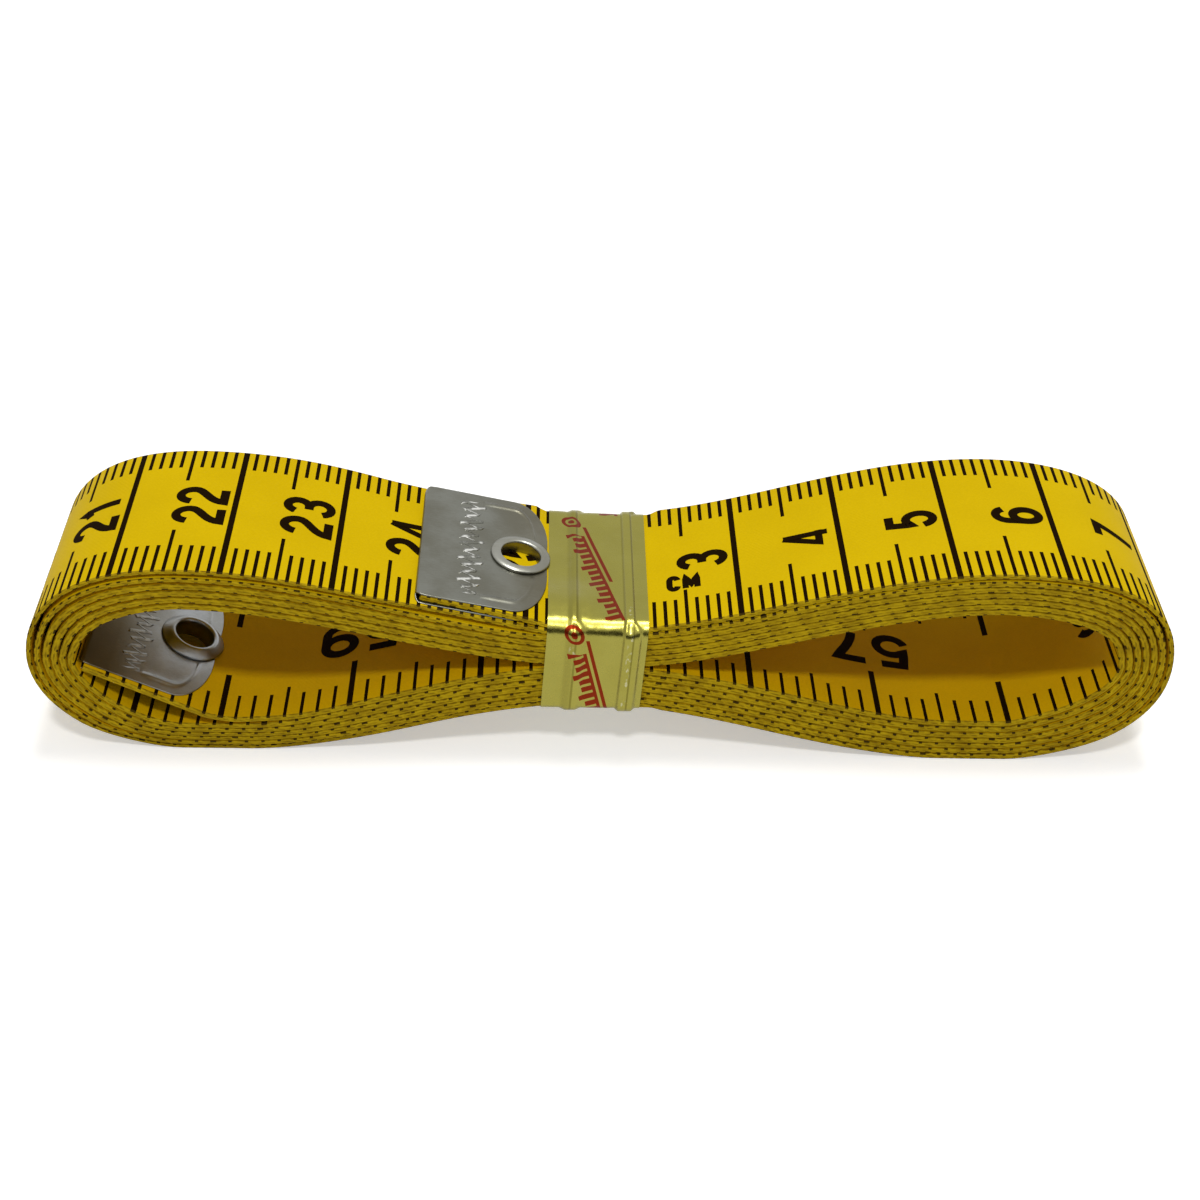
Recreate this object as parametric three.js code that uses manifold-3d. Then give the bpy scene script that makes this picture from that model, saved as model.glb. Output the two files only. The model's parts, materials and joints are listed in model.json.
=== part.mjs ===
// A cloth tape measure wound flat on itself: two lobes, a narrow waist and a foil band round the waist.
// Each end of the tape has a folded metal tip, fixed with an eyelet, and can be lifted off the winding.
// Millimetres. X runs along the bundle, Y across the tape from its front edge to its back edge, Z up.
// The bundle stands at z = 0 on the flats under its two lobes, with x = 0 half way along it.

import * as THREE from 'three';
import { mergeVertices } from 'three/addons/utils/BufferGeometryUtils.js';
import Module from 'manifold-3d';

const wasm = await Module();
wasm.setup();

// The tape
const tape_width = 19;
const tape_thickness = 0.24;

// The outline of the bundle's outer face, at the places where it runs level or upright
const bundle_length = 106.25;
const waist_top_height = 15.2;
const waist_top_x = 1.5;
const right_lobe_height = 22;
const right_top_from_end = 16.125;
const right_end_height = 11.25;
const right_foot_from_end = 17.425;
const waist_bottom_height = 6.05;
const waist_bottom_x = -1.2;
const left_foot_from_end = 16.225;
const left_end_height = 10.9;
const left_lobe_height = 21.3;
const left_top_from_end = 14.275;
const foot_flat_length = 6;

// How far each turn lies inside the turn before it, at those places
const waist_top_pitch = 0.705;
const waist_bottom_pitch = 0.665;
const right_top_pitch = 0.665;
const right_end_pitch = 0.78;
const right_foot_pitch = 0.72;
const left_foot_pitch = 0.66;
const left_end_pitch = 0.785;
const left_top_pitch = 0.785;
const whole_turns = 6;
const steps_per_stretch = 8;

// The inner end leaves the winding where the left foot begins, on a short bend
const inner_bend_radius = 5;
const inner_end_tilt = THREE.MathUtils.degToRad(22.6);
const bend_steps = 4;
const inner_straight_length = 0.3;

// The foil band
const band_width = 9.3;
const band_middle_x = -0.85;
const band_lean = 0.55;
const band_wall = 0.25;
const band_corner_radius = 0.9;
const band_clearance = 0.3;
const band_corner_steps = 4;

// The folded metal tips
const tip_length = 12.2;
const tip_width = 18.6;
const tip_sheet = 0.22;
const tip_seat_gap = 0.2;
const tip_fold_corner = 0.8;
const tip_end_corner_along = 3.4;
const tip_end_corner_across = 6.2;
const end_rest_clearance = 0.25;
const outer_free_length = 0.35;
const inner_free_length = 1;
const hinge_gap = 0.2;
const cut_overrun = 1;

// The eyelets
const eyelet_bore = 3.8;
const eyelet_wall = 0.3;
const eyelet_flange_diameter = 5.8;
const eyelet_flange_thickness = 0.24;
const eyelet_edge_thickness = 0.12;
const eyelet_back_thickness = 0.12;
const eyelet_from_tip_end = 2.95;
const eyelet_segments = 24;

// Finishes
const cloth = { color: '#dcbb0a', roughness: 0.6, metalness: 0 };
const plated_steel = { color: '#9b9c94', roughness: 0.3, metalness: 1 };
const gold_foil = { color: '#b3aa58', roughness: 0.3, metalness: 0.9 };

const tapeMeasure = new THREE.Group();

function addPiece(parent, name, geometry, finish) {
  const mesh = new THREE.Mesh(geometry, new THREE.MeshStandardMaterial(finish));
  mesh.name = name;
  parent.add(mesh);
  return mesh;
}

// Solids for cutting and joining
function toSolid(geometry) {
  const bare = geometry.clone();
  bare.deleteAttribute('normal');
  bare.deleteAttribute('uv');
  const merged = mergeVertices(bare);
  return new wasm.Manifold(new wasm.Mesh({
    numProp: 3,
    vertProperties: new Float32Array(merged.attributes.position.array),
    triVerts: new Uint32Array(merged.index.array),
  }));
}

function toGeometry(solid) {
  const { vertProperties, triVerts } = solid.getMesh();
  const geometry = new THREE.BufferGeometry();
  geometry.setAttribute('position', new THREE.BufferAttribute(vertProperties, 3));
  geometry.setIndex(new THREE.BufferAttribute(triVerts, 1));
  geometry.computeVertexNormals();
  return geometry;
}

// The winding follows one closed outline and sinks inwards as it goes round.
// Each of the eight stretches between the outline's places takes an equal share of the sinking,
// and the flats of the feet take none, so that they stay level on every turn.
// A place's out is the way that its outer face looks.
const up = new THREE.Vector2(0, 1);
const down = new THREE.Vector2(0, -1);
const right = new THREE.Vector2(1, 0);
const left = new THREE.Vector2(-1, 0);
const right_end_x = bundle_length / 2;
const left_end_x = -bundle_length / 2;
const placeAt = (x, z, out, flat, pitch) => ({ x, z, out, flat, pitch });
const waist_top = placeAt(waist_top_x, waist_top_height, up, 0, waist_top_pitch);
const right_top = placeAt(right_end_x - right_top_from_end, right_lobe_height, up, 0, right_top_pitch);
const right_end = placeAt(right_end_x, right_end_height, right, 0, right_end_pitch);
const right_foot = placeAt(right_end_x - right_foot_from_end, 0, down, foot_flat_length, right_foot_pitch);
const waist_bottom = placeAt(waist_bottom_x, waist_bottom_height, down, 0, waist_bottom_pitch);
const left_foot = placeAt(left_end_x + left_foot_from_end, 0, down, foot_flat_length, left_foot_pitch);
const left_end = placeAt(left_end_x, left_end_height, left, 0, left_end_pitch);
const left_top = placeAt(left_end_x + left_top_from_end, left_lobe_height, up, 0, left_top_pitch);
const places = [
  waist_top, right_top, right_end, right_foot, waist_bottom, left_foot, left_end, left_top,
];
const stretch_count = places.length;
places.forEach((place, i) => {
  place.travel = new THREE.Vector2(place.out.y, -place.out.x);
  place.middle = new THREE.Vector2(place.x, place.z)
    .addScaledVector(place.out, place.pitch * i / stretch_count);
  place.arrive = place.middle.clone().addScaledVector(place.travel, -place.flat / 2);
  place.leave = place.middle.clone().addScaledVector(place.travel, place.flat / 2);
});

// How far the curve of each stretch runs on along the outline at its two ends
const handle_shares = [
  [0.28, 0.37],
  [0.54, 0.8],
  [0.74, 0.29],
  [0.28, 0.32],
  [0.34, 0.3],
  [0.35, 0.67],
  [0.42, 0.8],
  [0.4, 0.41],
];
const stretches = handle_shares.map(([leaveShare, arriveShare], i) => {
  const from = places[i];
  const to = places[(i + 1) % stretch_count];
  const span = to.arrive.clone().sub(from.leave);
  const leaveHandle = from.leave.clone()
    .addScaledVector(from.travel, leaveShare * Math.abs(span.dot(from.travel)));
  const arriveHandle = to.arrive.clone()
    .addScaledVector(to.travel, -arriveShare * Math.abs(span.dot(to.travel)));
  const curve = new THREE.CubicBezierCurve(from.leave, leaveHandle, arriveHandle, to.arrive);
  return { curve, from, to };
});

// One station of the winding: a share of the way along a stretch, on the turn that is counted from the waist
function stationAt(turn, stretch, share) {
  const { curve, from, to } = stretches[stretch];
  const travel = curve.getTangent(share);
  const inward = new THREE.Vector2(travel.y, -travel.x);
  const pitch = THREE.MathUtils.lerp(from.pitch, to.pitch, THREE.MathUtils.smoothstep(share, 0, 1));
  const sunk = pitch * (turn + (stretch + share) / stretch_count);
  const outer = curve.getPoint(share).addScaledVector(inward, sunk);
  const inner = outer.clone().addScaledVector(inward, tape_thickness);
  return { outer, inner, travel, inward, place: turn + (stretch + share) / stretch_count };
}

// The share of a stretch at which its outer face passes a given x
function shareAtX(turn, stretch, x) {
  let low = 0;
  let high = 1;
  const rising = stationAt(turn, stretch, high).outer.x > stationAt(turn, stretch, low).outer.x;
  for (let halving = 0; halving < 40; halving += 1) {
    const middle = (low + high) / 2;
    const short = stationAt(turn, stretch, middle).outer.x < x;
    if (short === rising) low = middle;
    else high = middle;
  }
  return (low + high) / 2;
}

const outerFaceAtX = (turn, stretch, x) => stationAt(turn, stretch, shareAtX(turn, stretch, x)).outer;

// The band's corners, just clear of the winding
const top_stretch = stretch_count - 1;
const band_top_left_x = band_middle_x - band_width / 2 + band_lean / 2;
const band_top_right_x = band_top_left_x + band_width;
const band_bottom_left_x = band_top_left_x - band_lean;
const band_bottom_right_x = band_bottom_left_x + band_width;
const band_left_top = outerFaceAtX(-1, top_stretch, band_top_left_x).y + band_clearance;
const band_right_top = outerFaceAtX(0, 0, band_top_right_x).y + band_clearance;
const after_waist_bottom = places.indexOf(waist_bottom);
const before_waist_bottom = after_waist_bottom - 1;
const band_left_bottom = outerFaceAtX(0, after_waist_bottom, band_bottom_left_x).y - band_clearance;
const band_right_bottom = outerFaceAtX(0, before_waist_bottom, band_bottom_right_x).y - band_clearance;

// The stations of the whole winding, from under the band's left edge to the left foot
function windingStations() {
  const stations = [];
  const add = (station) => {
    const last = stations.at(-1);
    if (!last || last.outer.distanceTo(station.outer) > tape_thickness / 10) stations.push(station);
  };
  const first = shareAtX(-1, top_stretch, band_top_left_x + hinge_gap);
  const last_stretch = whole_turns * stretch_count + places.indexOf(left_foot) - 1;
  for (let count = -1; count <= last_stretch; count += 1) {
    const turn = Math.floor(count / stretch_count);
    const stretch = count - turn * stretch_count;
    const start = count < 0 ? first : 0;
    for (let step = 0; step <= steps_per_stretch; step += 1) {
      add(stationAt(turn, stretch, Math.max(start, step / steps_per_stretch)));
    }
  }
  return stations;
}

// The bend that lifts the tape's inner end off the winding, and the straight run after it
function bendStations(from) {
  const centre = from.outer.clone().addScaledVector(from.inward, inner_bend_radius);
  const stations = [];
  const turned = (vector, angle) => vector.clone().rotateAround(new THREE.Vector2(0, 0), -angle);
  for (let step = 1; step <= bend_steps; step += 1) {
    const angle = inner_end_tilt * step / bend_steps;
    const inward = turned(from.inward, angle);
    const travel = turned(from.travel, angle);
    const outer = centre.clone().addScaledVector(inward, -inner_bend_radius);
    const inner = outer.clone().addScaledVector(inward, tape_thickness);
    stations.push({ outer, inner, travel, inward, place: from.place });
  }
  const end = stations.at(-1);
  const run = end.travel.clone().multiplyScalar(inner_straight_length);
  stations.push({ ...end, outer: end.outer.clone().add(run), inner: end.inner.clone().add(run) });
  return stations;
}

// A closed strip of tape through its stations
function ribbonGeometry(stations, front, back) {
  const positions = stations.flatMap(({ outer, inner }) => [
    outer.x, front, outer.y, outer.x, back, outer.y, inner.x, back, inner.y, inner.x, front, inner.y,
  ]);
  const sides = 4;
  const index = [0, 1, 2, 0, 2, 3];
  for (let ring = 0; ring < stations.length - 1; ring += 1) {
    for (let side = 0; side < sides; side += 1) {
      const a = ring * sides + side;
      const b = ring * sides + (side + 1) % sides;
      index.push(a, b + sides, b, a, a + sides, b + sides);
    }
  }
  const end = (stations.length - 1) * sides;
  index.push(end, end + 2, end + 1, end, end + 3, end + 2);
  const geometry = new THREE.BufferGeometry();
  geometry.setAttribute('position', new THREE.Float32BufferAttribute(positions, 3));
  geometry.setIndex(index);
  geometry.computeVertexNormals();
  return geometry;
}

// The least distance between faces of the winding that lie at least half a turn apart
function leastGap(stations) {
  const nearest = new THREE.Vector3();
  const flat = (point) => new THREE.Vector3(point.x, 0, point.y);
  let least = Infinity;
  stations.forEach((near, i) => {
    for (let j = i + 1; j < stations.length - 1; j += 1) {
      if (stations[j].place - near.place < 0.5) continue;
      for (const face of ['outer', 'inner']) {
        const line = new THREE.Line3(flat(stations[j][face]), flat(stations[j + 1][face]));
        for (const own of ['outer', 'inner']) {
          const point = flat(near[own]);
          least = Math.min(least, line.closestPointToPoint(point, true, nearest).distanceTo(point));
        }
      }
    }
  });
  return least;
}

const winding = windingStations();
const bend = bendStations(winding.at(-1));
const coil = [...winding, ...bend];
console.log(`least gap of the winding to itself: ${leastGap(coil).toFixed(3)} mm`);
const middles = coil.map(({ outer, inner }) => outer.clone().add(inner).multiplyScalar(1 / 2));
const wound_length = middles.slice(1).reduce((sum, point, i) => sum + point.distanceTo(middles[i]), 0);
addPiece(tapeMeasure, 'tape_coil', ribbonGeometry(coil, -tape_width / 2, tape_width / 2), cloth);

// The foil band: a closed loop of foil, drawn across the tape and stretched along the bundle
function roundedLoop(halfWidth, halfHeight, radius, Kind) {
  const loop = new Kind();
  loop.moveTo(halfWidth - radius, -halfHeight);
  loop.absarc(halfWidth - radius, -halfHeight + radius, radius, -Math.PI / 2, 0, false);
  loop.absarc(halfWidth - radius, halfHeight - radius, radius, 0, Math.PI / 2, false);
  loop.absarc(-halfWidth + radius, halfHeight - radius, radius, Math.PI / 2, Math.PI, false);
  loop.absarc(-halfWidth + radius, -halfHeight + radius, radius, Math.PI, Math.PI * 3 / 2, false);
  loop.closePath();
  return loop;
}

function bandGeometry() {
  const inner_half_width = tape_width / 2 + band_clearance;
  const inner_half_height = (band_left_top - band_left_bottom) / 2;
  const outer_radius = band_corner_radius + band_wall;
  const foil = roundedLoop(
    inner_half_width + band_wall, inner_half_height + band_wall, outer_radius, THREE.Shape,
  );
  foil.holes.push(roundedLoop(inner_half_width, inner_half_height, band_corner_radius, THREE.Path));
  const geometry = new THREE.ExtrudeGeometry(foil, {
    depth: band_width, bevelEnabled: false, curveSegments: band_corner_steps, steps: 1,
  });
  const across = new THREE.Vector3(0, 1, 0);
  const upward = new THREE.Vector3(0, 0, 1);
  const along = new THREE.Vector3(1, 0, 0);
  geometry.applyMatrix4(new THREE.Matrix4().makeBasis(across, upward, along));
  const position = geometry.attributes.position;
  for (let i = 0; i < position.count; i += 1) {
    const share = position.getX(i) / band_width;
    const rise = position.getZ(i) / (2 * inner_half_height) + 1 / 2;
    const bottom = THREE.MathUtils.lerp(band_left_bottom, band_right_bottom, share);
    const top = THREE.MathUtils.lerp(band_left_top, band_right_top, share);
    position.setX(i, band_bottom_left_x + position.getX(i) + band_lean * rise);
    position.setZ(i, bottom + (top - bottom) * rise);
  }
  return geometry;
}

addPiece(tapeMeasure, 'foil_band', bandGeometry(), gold_foil);

// One end of the tape, drawn from its hinge towards -X with the tape's middle plane at z = 0
const tip_height = tape_thickness + 2 * (tip_seat_gap + tip_sheet);
const barrel_radius = eyelet_bore / 2 + eyelet_wall;
const hole_radius = barrel_radius + tip_seat_gap;

function endTapeGeometry(free_length) {
  const length = free_length + tip_length - tip_height / 2;
  const strip = new THREE.Shape();
  strip.moveTo(-hinge_gap, -tape_width / 2);
  strip.lineTo(-hinge_gap, tape_width / 2);
  strip.lineTo(-length, tape_width / 2);
  strip.lineTo(-length, -tape_width / 2);
  strip.closePath();
  const hole = new THREE.Path();
  hole.absarc(-free_length - eyelet_from_tip_end, 0, hole_radius, 0, Math.PI * 2, false);
  strip.holes.push(hole);
  const geometry = new THREE.ExtrudeGeometry(strip, {
    depth: tape_thickness, bevelEnabled: false, curveSegments: eyelet_segments / 2, steps: 1,
  });
  return geometry.translate(0, 0, -tape_thickness / 2);
}

// A sheet of metal folded round the tape's end, cut to its outline and punched for the eyelet
function tipGeometry(free_length) {
  const half_width = tip_width / 2;
  const open_x = -free_length;
  const fold_x = open_x - tip_length + tip_height / 2;
  const fold_radius = tip_height / 2;
  const profile = new THREE.Shape();
  profile.moveTo(open_x, fold_radius);
  profile.lineTo(fold_x, fold_radius);
  profile.absarc(fold_x, 0, fold_radius, Math.PI / 2, Math.PI * 3 / 2, false);
  profile.lineTo(open_x, -fold_radius);
  profile.lineTo(open_x, -fold_radius + tip_sheet);
  profile.lineTo(fold_x, -fold_radius + tip_sheet);
  profile.absarc(fold_x, 0, fold_radius - tip_sheet, Math.PI * 3 / 2, Math.PI / 2, true);
  profile.lineTo(open_x, fold_radius - tip_sheet);
  profile.closePath();
  const folded = new THREE.ExtrudeGeometry(profile, {
    depth: tip_width + cut_overrun, bevelEnabled: false, curveSegments: 8, steps: 1,
  });
  folded.rotateX(Math.PI / 2).translate(0, (tip_width + cut_overrun) / 2, 0);

  const end_x = open_x - tip_length;
  const corner = tip_fold_corner;
  const along = tip_end_corner_along;
  const across = tip_end_corner_across;
  const outline = new THREE.Shape();
  outline.moveTo(open_x - along, -half_width);
  outline.absellipse(open_x - along, -half_width + across, along, across, -Math.PI / 2, 0, false);
  outline.absellipse(open_x - along, half_width - across, along, across, 0, Math.PI / 2, false);
  outline.absarc(end_x + corner, half_width - corner, corner, Math.PI / 2, Math.PI, false);
  outline.absarc(end_x + corner, -half_width + corner, corner, Math.PI, Math.PI * 3 / 2, false);
  outline.closePath();
  const cutter = new THREE.ExtrudeGeometry(outline, {
    depth: tip_height + 2 * cut_overrun, bevelEnabled: false, curveSegments: 8, steps: 1,
  });
  cutter.translate(0, 0, -tip_height / 2 - cut_overrun);

  const punch = new THREE.CylinderGeometry(
    hole_radius, hole_radius, tip_height + 2 * cut_overrun, eyelet_segments,
  );
  punch.rotateX(Math.PI / 2).translate(open_x - eyelet_from_tip_end, 0, 0);
  return toGeometry(toSolid(folded).intersect(toSolid(cutter)).subtract(toSolid(punch)));
}

// A barrel through the tip and the tape, with a flange on each side of the tip
function eyeletGeometry(free_length) {
  const seat = tip_height / 2 + tip_seat_gap;
  const crown = seat + eyelet_flange_thickness;
  const rim = seat + eyelet_edge_thickness;
  const back = seat + eyelet_back_thickness;
  const bore_radius = eyelet_bore / 2;
  const flange_radius = eyelet_flange_diameter / 2;
  const profile = [
    [bore_radius, -back],
    [flange_radius, -back],
    [flange_radius, -seat],
    [barrel_radius, -seat],
    [barrel_radius, seat],
    [flange_radius, seat],
    [flange_radius, rim],
    [barrel_radius, crown],
    [bore_radius, crown],
    [bore_radius, -back],
  ].map(([radius, height]) => new THREE.Vector2(radius, height));
  const geometry = new THREE.LatheGeometry(profile, eyelet_segments);
  return geometry.rotateX(Math.PI / 2).translate(-free_length - eyelet_from_tip_end, 0, 0);
}

// The hinge is where the tape's end bends, and level is the height of the tape's middle plane over it
function addTapeEnd(side, hinge, tilt, level, free_length) {
  const end = new THREE.Group();
  end.position.set(hinge.x, 0, hinge.y);
  end.rotation.y = tilt;
  const stack = new THREE.Group();
  stack.position.z = level;
  end.add(stack);
  addPiece(stack, `tape_${side}_end`, endTapeGeometry(free_length), cloth);
  addPiece(stack, `${side}_tip`, tipGeometry(free_length), plated_steel);
  addPiece(stack, `${side}_eyelet`, eyeletGeometry(free_length), plated_steel);
  tapeMeasure.add(end);
  return end;
}

// The outer end bends at the band's top left edge and lies along the turn beneath it, on its eyelet
const outer_hinge = new THREE.Vector2(band_top_left_x, band_left_top + band_wall);
const rest_right = outerFaceAtX(0, top_stretch, band_top_left_x);
const rest_left = outerFaceAtX(0, top_stretch, band_top_left_x - outer_free_length - tip_length);
const rest_line = rest_left.clone().sub(rest_right).normalize();
const outer_end_tilt = Math.atan2(rest_line.y, -rest_line.x);
const rest_normal = new THREE.Vector2(rest_line.y, -rest_line.x);
const hinge_over_rest = outer_hinge.clone().sub(rest_right).dot(rest_normal);
const eyelet_back = tip_height / 2 + tip_seat_gap + eyelet_back_thickness;
const outer_level = end_rest_clearance + eyelet_back - hinge_over_rest;
addTapeEnd('outer', outer_hinge, outer_end_tilt, outer_level, outer_free_length);

// The inner end bends in its own plane, where the bend's straight run stops
const inner_hinge = middles.at(-1);
addTapeEnd('inner', inner_hinge, inner_end_tilt, 0, inner_free_length);

const end_lengths = 2 * (tip_length - tip_height / 2) + outer_free_length + inner_free_length;
console.log(`length of the tape: ${(wound_length + end_lengths).toFixed(1)} mm`);

export default tapeMeasure;
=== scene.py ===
"""The looks of a cloth tape measure: printed tape, folded tips, eyelets and the foil band round its waist.

Sizes are in millimetres and every mesh is scaled to metres when it is finished.
X runs along the bundle, Y from the tape's front edge to its back edge, Z up.
"""
import json
import math
from bisect import bisect_right
from collections import namedtuple

import bmesh
import bpy
from mathutils import Matrix, Vector, noise


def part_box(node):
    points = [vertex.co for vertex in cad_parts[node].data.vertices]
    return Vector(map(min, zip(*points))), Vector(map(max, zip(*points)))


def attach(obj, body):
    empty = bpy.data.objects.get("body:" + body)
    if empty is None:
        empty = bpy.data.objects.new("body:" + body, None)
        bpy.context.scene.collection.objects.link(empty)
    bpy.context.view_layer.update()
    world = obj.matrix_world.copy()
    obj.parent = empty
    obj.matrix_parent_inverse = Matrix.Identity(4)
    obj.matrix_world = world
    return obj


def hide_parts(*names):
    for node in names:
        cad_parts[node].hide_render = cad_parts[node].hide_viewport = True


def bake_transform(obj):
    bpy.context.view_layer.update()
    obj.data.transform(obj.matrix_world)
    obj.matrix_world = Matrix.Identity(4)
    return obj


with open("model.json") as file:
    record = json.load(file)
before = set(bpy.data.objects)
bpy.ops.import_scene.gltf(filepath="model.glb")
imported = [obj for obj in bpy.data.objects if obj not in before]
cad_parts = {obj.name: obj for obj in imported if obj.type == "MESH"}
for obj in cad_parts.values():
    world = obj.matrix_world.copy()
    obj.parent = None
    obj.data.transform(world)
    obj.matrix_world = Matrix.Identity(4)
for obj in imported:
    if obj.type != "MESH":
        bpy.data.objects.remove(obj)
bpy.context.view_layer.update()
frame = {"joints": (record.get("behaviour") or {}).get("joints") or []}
MM = 0.001

# Camera, in the photograph's frame
picture_pixels = 1200
camera_place = Vector((-5.566, -155.108, 126.703))
camera_turn = math.radians(-1.985)
camera_tilt = math.radians(36.633)
camera_roll = math.radians(2.042)
camera_focal_pixels = 2002.14
camera_sensor = 36

# Tape
tape_width = 19
tape_thickness = 0.62
edge_corner = 0.13
coil_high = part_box("tape_coil")[1] / MM
half_length = coil_high.x
lobe_height = coil_high.z

# Outline of the bundle's outer face, at the places where it runs level or upright
waist_top_height = 15.2
waist_top_x = 1.5
right_top_from_end = 16.125
right_end_height = 11.25
right_foot_from_end = 17.425
waist_bottom_height = 6.05
waist_bottom_x = -1.2
left_foot_from_end = 16.225
left_end_height = 10.9
left_lobe_height = 21.3
left_top_from_end = 14.275
foot_flat_length = 6
whole_turns = 6
steps_per_stretch = 160

# How far each turn lies inside the turn before it, at those places
waist_top_pitch = 0.67
right_top_pitch = 0.656
right_end_pitch = 0.734
right_foot_pitch = 0.694
waist_bottom_pitch = 0.663
left_foot_pitch = 0.64
left_end_pitch = 0.733
left_top_pitch = 0.756

# How far the inner turns part from the outline's form in the middle of each stretch, for each turn inwards
sags = (-0.012, 0.053, 0.095, 0.014, -0.02, 0.06, 0.107, 0.039)
handle_shares = (
    (0.28, 0.37), (0.54, 0.8), (0.74, 0.29), (0.28, 0.32),
    (0.34, 0.3), (0.35, 0.67), (0.42, 0.8), (0.4, 0.41),
)

# Ends of the tape
inner_bend_radius = 5
inner_end_tilt = math.radians(22.6)
inner_straight_length = 0.3
outer_end_tilt = math.radians(12.066)
outer_level = -0.78
outer_free_length = 0.05
inner_free_length = 1.6
inner_end_drop = 0.4
inner_end_steeper = math.radians(2)
inner_tip_forward = 0.68
inner_tip_turn = math.radians(-1.17)
inner_end_stray = 0.38
outer_trims = (0.075, 0.05)
inner_trims = (0.06, 0.055)
outer_blend_run = (-0.65, 0.15)
inner_blend_run = (-0.3, 0.9)
outer_tip_lean = 0.3
trim_runs = (13, 5)
join_length = 0.7
s_bend_handle = 0.75
bend_inside_tip = 0.1
bend_steps = 24
inner_end_steps = 8

# Printed scales: where each begins along the outer face, and the marks that cross the tape from its two edges
centimetre_zero = -12.1
inch_zero = -8.8
inch = 25.4
inch_parts = 16
line_width = 0.56
tick_width = 0.35
inch_line_width = 0.58
inch_tick_width = 0.34
longest_column = 1.0
shortest_column = 0.02
unit_mark = 25
outer_marks_start = -20
outer_marks_end = 262
inner_marks_start = 1228
inner_marks_end = 1514.5

# Folded tips
tip_length = 12.2
tip_width = 17.8
tip_sheet = 0.15
tip_height = 0.94
tip_fold_corner = 0.8
fold_from_edge = tip_length - tip_height / 2
tip_corner_along = 3.4
tip_corner_across = 6.2
tip_corner_side = tip_width / 2 - tip_corner_across
eyelet_from_tip_end = 2.6
eyelet_bore = 3.8
hole_clearance = 0.1
hole_sides = 16
stamp_from_edge = 7.4
stamp_pitch = 1.15
ridge_in_corner = 1.35
ridge_starts_at = 6.3
ridge_clear_of_eyelet = 3.2

# Foil band, a rounded loop round the waist
band_low, band_high = (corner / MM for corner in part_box("foil_band"))
band_width = 9.3
band_lean = band_high.x - band_low.x - band_width
band_top_left = 15.73
band_top_right = 15.47
band_sag = 0.1
band_bottom_left = band_low.z + 0.28
band_bottom_right = band_low.z + 0.25
band_half = 9.78
band_top_corner = 1.5
band_bottom_corner = 0.9
foil_thickness = 0.06
band_clearance = 0.02
band_hold_run = (-6.6, -5.5, 4.3, 5.8)

half_width = tape_width / 2
up, down = Vector((0, 1)), Vector((0, -1))
right, left = Vector((1, 0)), Vector((-1, 0))
across = Vector((0, 1, 0))


def joint_place(name):
    """Where a joint's axis passes, seen from the front."""
    place = next(joint for joint in frame["joints"] if joint["name"] == name)["pos_m"]
    return Vector((place[0], place[2])) / MM


outer_hinge = joint_place("outer_end_lift")
inner_hinge = joint_place("inner_end_lift")
inner_bend = inner_hinge - Vector((0, inner_end_drop))


def ease(value, low, high):
    """0 below low, 1 above high and an even ease between them."""
    share = min(max((value - low) / (high - low), 0), 1)
    return share * share * (3 - 2 * share)


def hump(value, start, full, fading, end):
    """0 up to start, 1 from full to fading, and 0 again from end on."""
    return ease(value, start, full) * (1 - ease(value, fading, end))


# Camera, lights and floor

def add_camera():
    data = bpy.data.cameras.new("camera")
    data.sensor_width = camera_sensor
    data.lens = camera_focal_pixels * camera_sensor / picture_pixels
    data.clip_start = 0.01
    camera = bpy.data.objects.new("camera", data)
    bpy.context.scene.collection.objects.link(camera)
    back = Vector((
        math.sin(camera_turn) * math.cos(camera_tilt),
        -math.cos(camera_turn) * math.cos(camera_tilt),
        math.sin(camera_tilt),
    ))
    level = Vector((math.cos(camera_turn), math.sin(camera_turn), 0))
    upright = back.cross(level)
    sideways = level * math.cos(camera_roll) + upright * math.sin(camera_roll)
    upwards = upright * math.cos(camera_roll) - level * math.sin(camera_roll)
    turn = Matrix((sideways, upwards, back)).transposed()
    camera.matrix_world = Matrix.Translation(camera_place * MM) @ turn.to_4x4()
    bpy.context.scene.camera = camera


def add_lamp(name, place, power, size):
    data = bpy.data.lights.new(name, "AREA")
    data.energy = power
    data.size = size
    lamp = bpy.data.objects.new(name, data)
    lamp.matrix_world = Matrix.Translation(place) @ place.to_track_quat("Z", "Y").to_matrix().to_4x4()
    bpy.context.scene.collection.objects.link(lamp)


# Shader maths

class Value:
    """A number in a material's nodes, on which sums can be written."""

    def __init__(self, nodes, socket):
        self.nodes = nodes
        self.socket = socket

    def math(self, operation, *others):
        return self.nodes.math(operation, self, *others)

    def __add__(self, other):
        return self.math("ADD", other)

    def __radd__(self, other):
        return self.nodes.math("ADD", other, self)

    def __sub__(self, other):
        return self.math("SUBTRACT", other)

    def __rsub__(self, other):
        return self.nodes.math("SUBTRACT", other, self)

    def __mul__(self, other):
        return self.math("MULTIPLY", other)

    def __rmul__(self, other):
        return self.nodes.math("MULTIPLY", other, self)

    def __truediv__(self, other):
        return self.math("DIVIDE", other)

    def __lt__(self, other):
        return self.math("LESS_THAN", other)

    def __gt__(self, other):
        return self.math("GREATER_THAN", other)

    def __abs__(self):
        return self.math("ABSOLUTE")


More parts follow.
